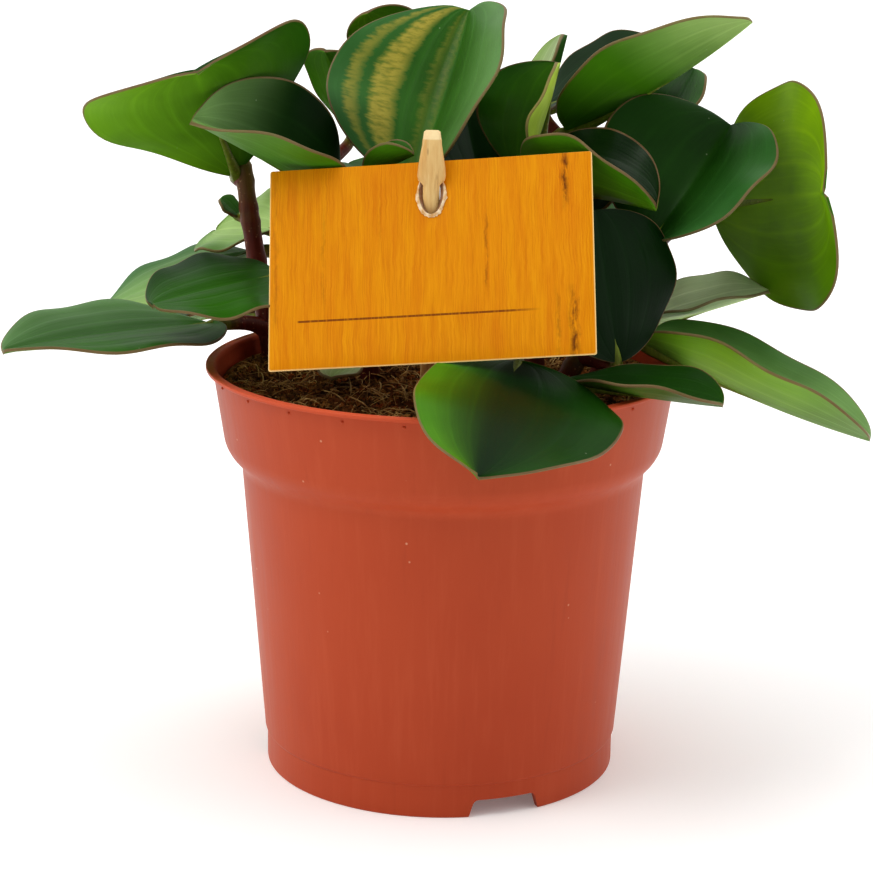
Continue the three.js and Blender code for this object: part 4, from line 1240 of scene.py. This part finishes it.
class PEPEROMIA_OT_stake(bpy.types.Operator):
    """Makes the carved stake that holds the card"""
    bl_idname = "peperomia.stake"
    bl_label = "Stake"

    def execute(self, context):
        along = Vector((0, -math.sin(STAKE_LEAN), math.cos(STAKE_LEAN)))
        back = Vector((0, math.cos(STAKE_LEAN), math.sin(STAKE_LEAN)))
        hole = on_card(HOLE.x, 0, HOLE.y)
        below = (hole.z - SOIL_LEVEL + STAKE_IN_SOIL) / along.z
        # Distance above the hole, half width and half depth
        sections = (
            (-below, 0.5, 0.4), (-below + 3, 1.4, 1.0), (-below + 8, 2.2, 1.4), (-below + 14, 2.4, 1.5),
            (-24, 2.45, 1.5), (-14, 2.35, 1.45), (-9, 2.4, 1.5), (-4, 2.35, 1.4), (0, 2.3, 1.3), (1.7, 2.3, 1.3),
            (2.3, 2.75, 1.3), (3.0, 3.6, 1.35), (4.2, 3.85, 1.5), (6.4, 3.65, 1.8), (9.4, 3.1, 2.0),
            (12.2, 2.7, 1.95), (13.6, 2.55, 1.9), (13.9, 2.45, 1.8), (15.6, 2.2, 0.9), (16.0, 1.6, 0.3),
        )
        shell = Shell()
        sides = 32
        rings = []
        for distance, half, depth in sections:
            ring = []
            for side in range(sides):
                angle = math.tau * side / sides
                c, s = math.cos(angle), math.sin(angle)
                square = (abs(c) ** 3 + abs(s) ** 3) ** (-1 / 3)
                carve = 1 + 0.05 * noise.noise(Vector((c * 1.6, s * 1.6, distance * 0.28)))
                place = hole + along * distance + Vector((half * square * c * carve, 0, 0)) * 0.97
                aside = depth * square * s * carve * 0.93 + max(distance - FACET_FROM, 0) * 0.35
                ring.append(shell.point(place + back * aside, facet=float(distance >= FACET_FROM)))
            rings.append(ring)
        shell.loft(rings)
        piece = shell.build("Label_stake", (wood_material(context.scene.peperomia_finishes),), ("facet",))
        soften(piece, 42)
        settle(piece, "stake", "label_stake")
        return {"FINISHED"}


# ------------------------------------------------------------------ stage

CAMERA_PLACE = (0, -0.6745, 0.2674)  # metres
CAMERA_TURN = (14.683, -0.162, 0.744)  # degrees downwards, to the side and about its own line of sight
KEY_FROM = (-0.6, -0.35, 1.0)  # the key light comes from here


class StageSettings(bpy.types.PropertyGroup):
    """Floor, light and camera"""
    floor_colour: FloatVectorProperty(name="Floor", description="Colour of the plain floor",
                                      default=(0.95, 0.95, 0.95, 1), size=4, subtype="COLOR", min=0, max=1)
    sky: FloatProperty(name="Surrounding light", description="Strength of the light from above", default=1.6)
    key: FloatProperty(name="Key light", description="Strength of the soft light from the upper left", default=0.65)
    lens: FloatProperty(name="Lens", description="Focal length of the camera in millimetres", default=103.1)


class PEPEROMIA_OT_stage(bpy.types.Operator):
    """Makes the floor, the soft lights and the camera"""
    bl_idname = "peperomia.stage"
    bl_label = "Stage"

    def execute(self, context):
        settings = context.scene.peperomia_stage
        paper = tuple(settings.floor_colour)
        material, g, shader = new_material("floor_paper", paper, Roughness=0.9, Emission_Strength=0.12)
        tone = g.mix(g.noise(g.object_place(), 3.0, 2), paper, (0.93, 0.93, 0.93, 1))
        g.set(shader.inputs["Base Color"], tone)
        shader.inputs["Emission Color"].default_value = (1, 1, 1, 1)
        shell = Shell()
        reach = 6000
        corners = ((-reach, -reach), (reach, -reach), (reach, reach), (-reach, reach))
        shell.face([shell.point((x, y, 0)) for x, y in corners])
        floor = shell.build("Floor", (material,))
        if floor.data.polygons[0].normal.z < 0:
            floor.data.flip_normals()

        world = bpy.data.worlds.new("studio_sky")
        world.use_nodes = True
        background = world.node_tree.nodes["Background"]
        background.inputs["Color"].default_value = (1, 1, 1, 1)
        sky = Graph(world.node_tree)
        aim = sky.parts(sky.add("ShaderNodeTexCoord").outputs["Generated"])
        upward = sky.math("MULTIPLY_ADD", aim[2], 0.5, 0.5)
        backward = sky.math("MULTIPLY_ADD", aim[1], 0.5, 0.5)
        glow = sky.ramp(upward, (0, 0.3), (0.5, 0.8), (0.75, 0.9), (1, 0.85))
        shaded = sky.ramp(backward, (0, 0.2), (0.25, 0.4), (0.5, 1), (0.75, 0.75), (1, 0.3))
        glow = sky.math("MULTIPLY", glow, shaded)
        sky.set(background.inputs["Strength"], sky.math("MULTIPLY", glow, settings.sky))
        context.scene.world = world

        key = bpy.data.lights.new("key_light", "SUN")
        key.energy = settings.key
        key.angle = math.radians(24)
        key.color = (1.0, 0.98, 0.95)
        lamp = bpy.data.objects.new("key_light", key)
        lamp.rotation_euler = Vector(KEY_FROM).to_track_quat("Z", "Y").to_euler()
        context.collection.objects.link(lamp)

        # The camera stands in front of the pot and looks down a little
        down, aside, level = (math.radians(angle) for angle in CAMERA_TURN)
        ahead = Vector((math.sin(aside) * math.cos(down), math.cos(aside) * math.cos(down), -math.sin(down)))
        right = Vector((math.cos(aside), -math.sin(aside), 0))
        up = right.cross(ahead)
        right = right * math.cos(level) + up * math.sin(level)
        up = right.cross(ahead)
        turn = Matrix((right, up, -ahead)).transposed().to_4x4()
        camera_data = bpy.data.cameras.new("photo_view")
        camera_data.lens = settings.lens
        camera_data.sensor_width = 36
        camera_data.sensor_fit = "AUTO"
        camera_data.clip_start = 0.05
        camera_data.clip_end = 50
        camera = bpy.data.objects.new("photo_view", camera_data)
        camera.matrix_world = Matrix.Translation(CAMERA_PLACE) @ turn
        context.collection.objects.link(camera)
        context.scene.camera = camera
        context.scene.view_settings.view_transform = "Standard"
        context.scene.view_settings.look = "Medium High Contrast"
        return {"FINISHED"}


# ------------------------------------------------------------------ panel and main

class PEPEROMIA_PT_panel(bpy.types.Panel):
    """Lists the pieces of the potted peperomia"""
    bl_label = "Potted Peperomia"
    bl_idname = "PEPEROMIA_PT_panel"
    bl_space_type = "VIEW_3D"
    bl_region_type = "UI"
    bl_category = "Peperomia"

    def draw(self, context):
        column = self.layout.column(align=True)
        for operator in OPERATORS:
            column.operator(operator.bl_idname)


GROUPS = (
    ("peperomia_leaf_sizes", LeafSizes),
    ("peperomia_finishes", Finishes),
    ("peperomia_pot_sizes", PotSizes),
    ("peperomia_soil_sizes", SoilSizes),
    ("peperomia_label_sizes", LabelSizes),
    ("peperomia_stage", StageSettings),
)
OPERATORS = (
    PEPEROMIA_OT_stage,
    PEPEROMIA_OT_pot,
    PEPEROMIA_OT_soil,
    PEPEROMIA_OT_stems,
    PEPEROMIA_OT_leaves,
    PEPEROMIA_OT_card,
    PEPEROMIA_OT_stake,
)


def register():
    for name, group in GROUPS:
        bpy.utils.register_class(group)
        setattr(bpy.types.Scene, name, PointerProperty(type=group))
    for operator in OPERATORS:
        bpy.utils.register_class(operator)
    bpy.utils.register_class(PEPEROMIA_PT_panel)


def unregister():
    bpy.utils.unregister_class(PEPEROMIA_PT_panel)
    for operator in reversed(OPERATORS):
        bpy.utils.unregister_class(operator)
    for name, group in reversed(GROUPS):
        delattr(bpy.types.Scene, name)
        bpy.utils.unregister_class(group)


def main():
    register()
    for operator in OPERATORS:
        _, name = operator.bl_idname.split(".")
        getattr(bpy.ops.peperomia, name)()


if __name__ == "__main__":
    main()
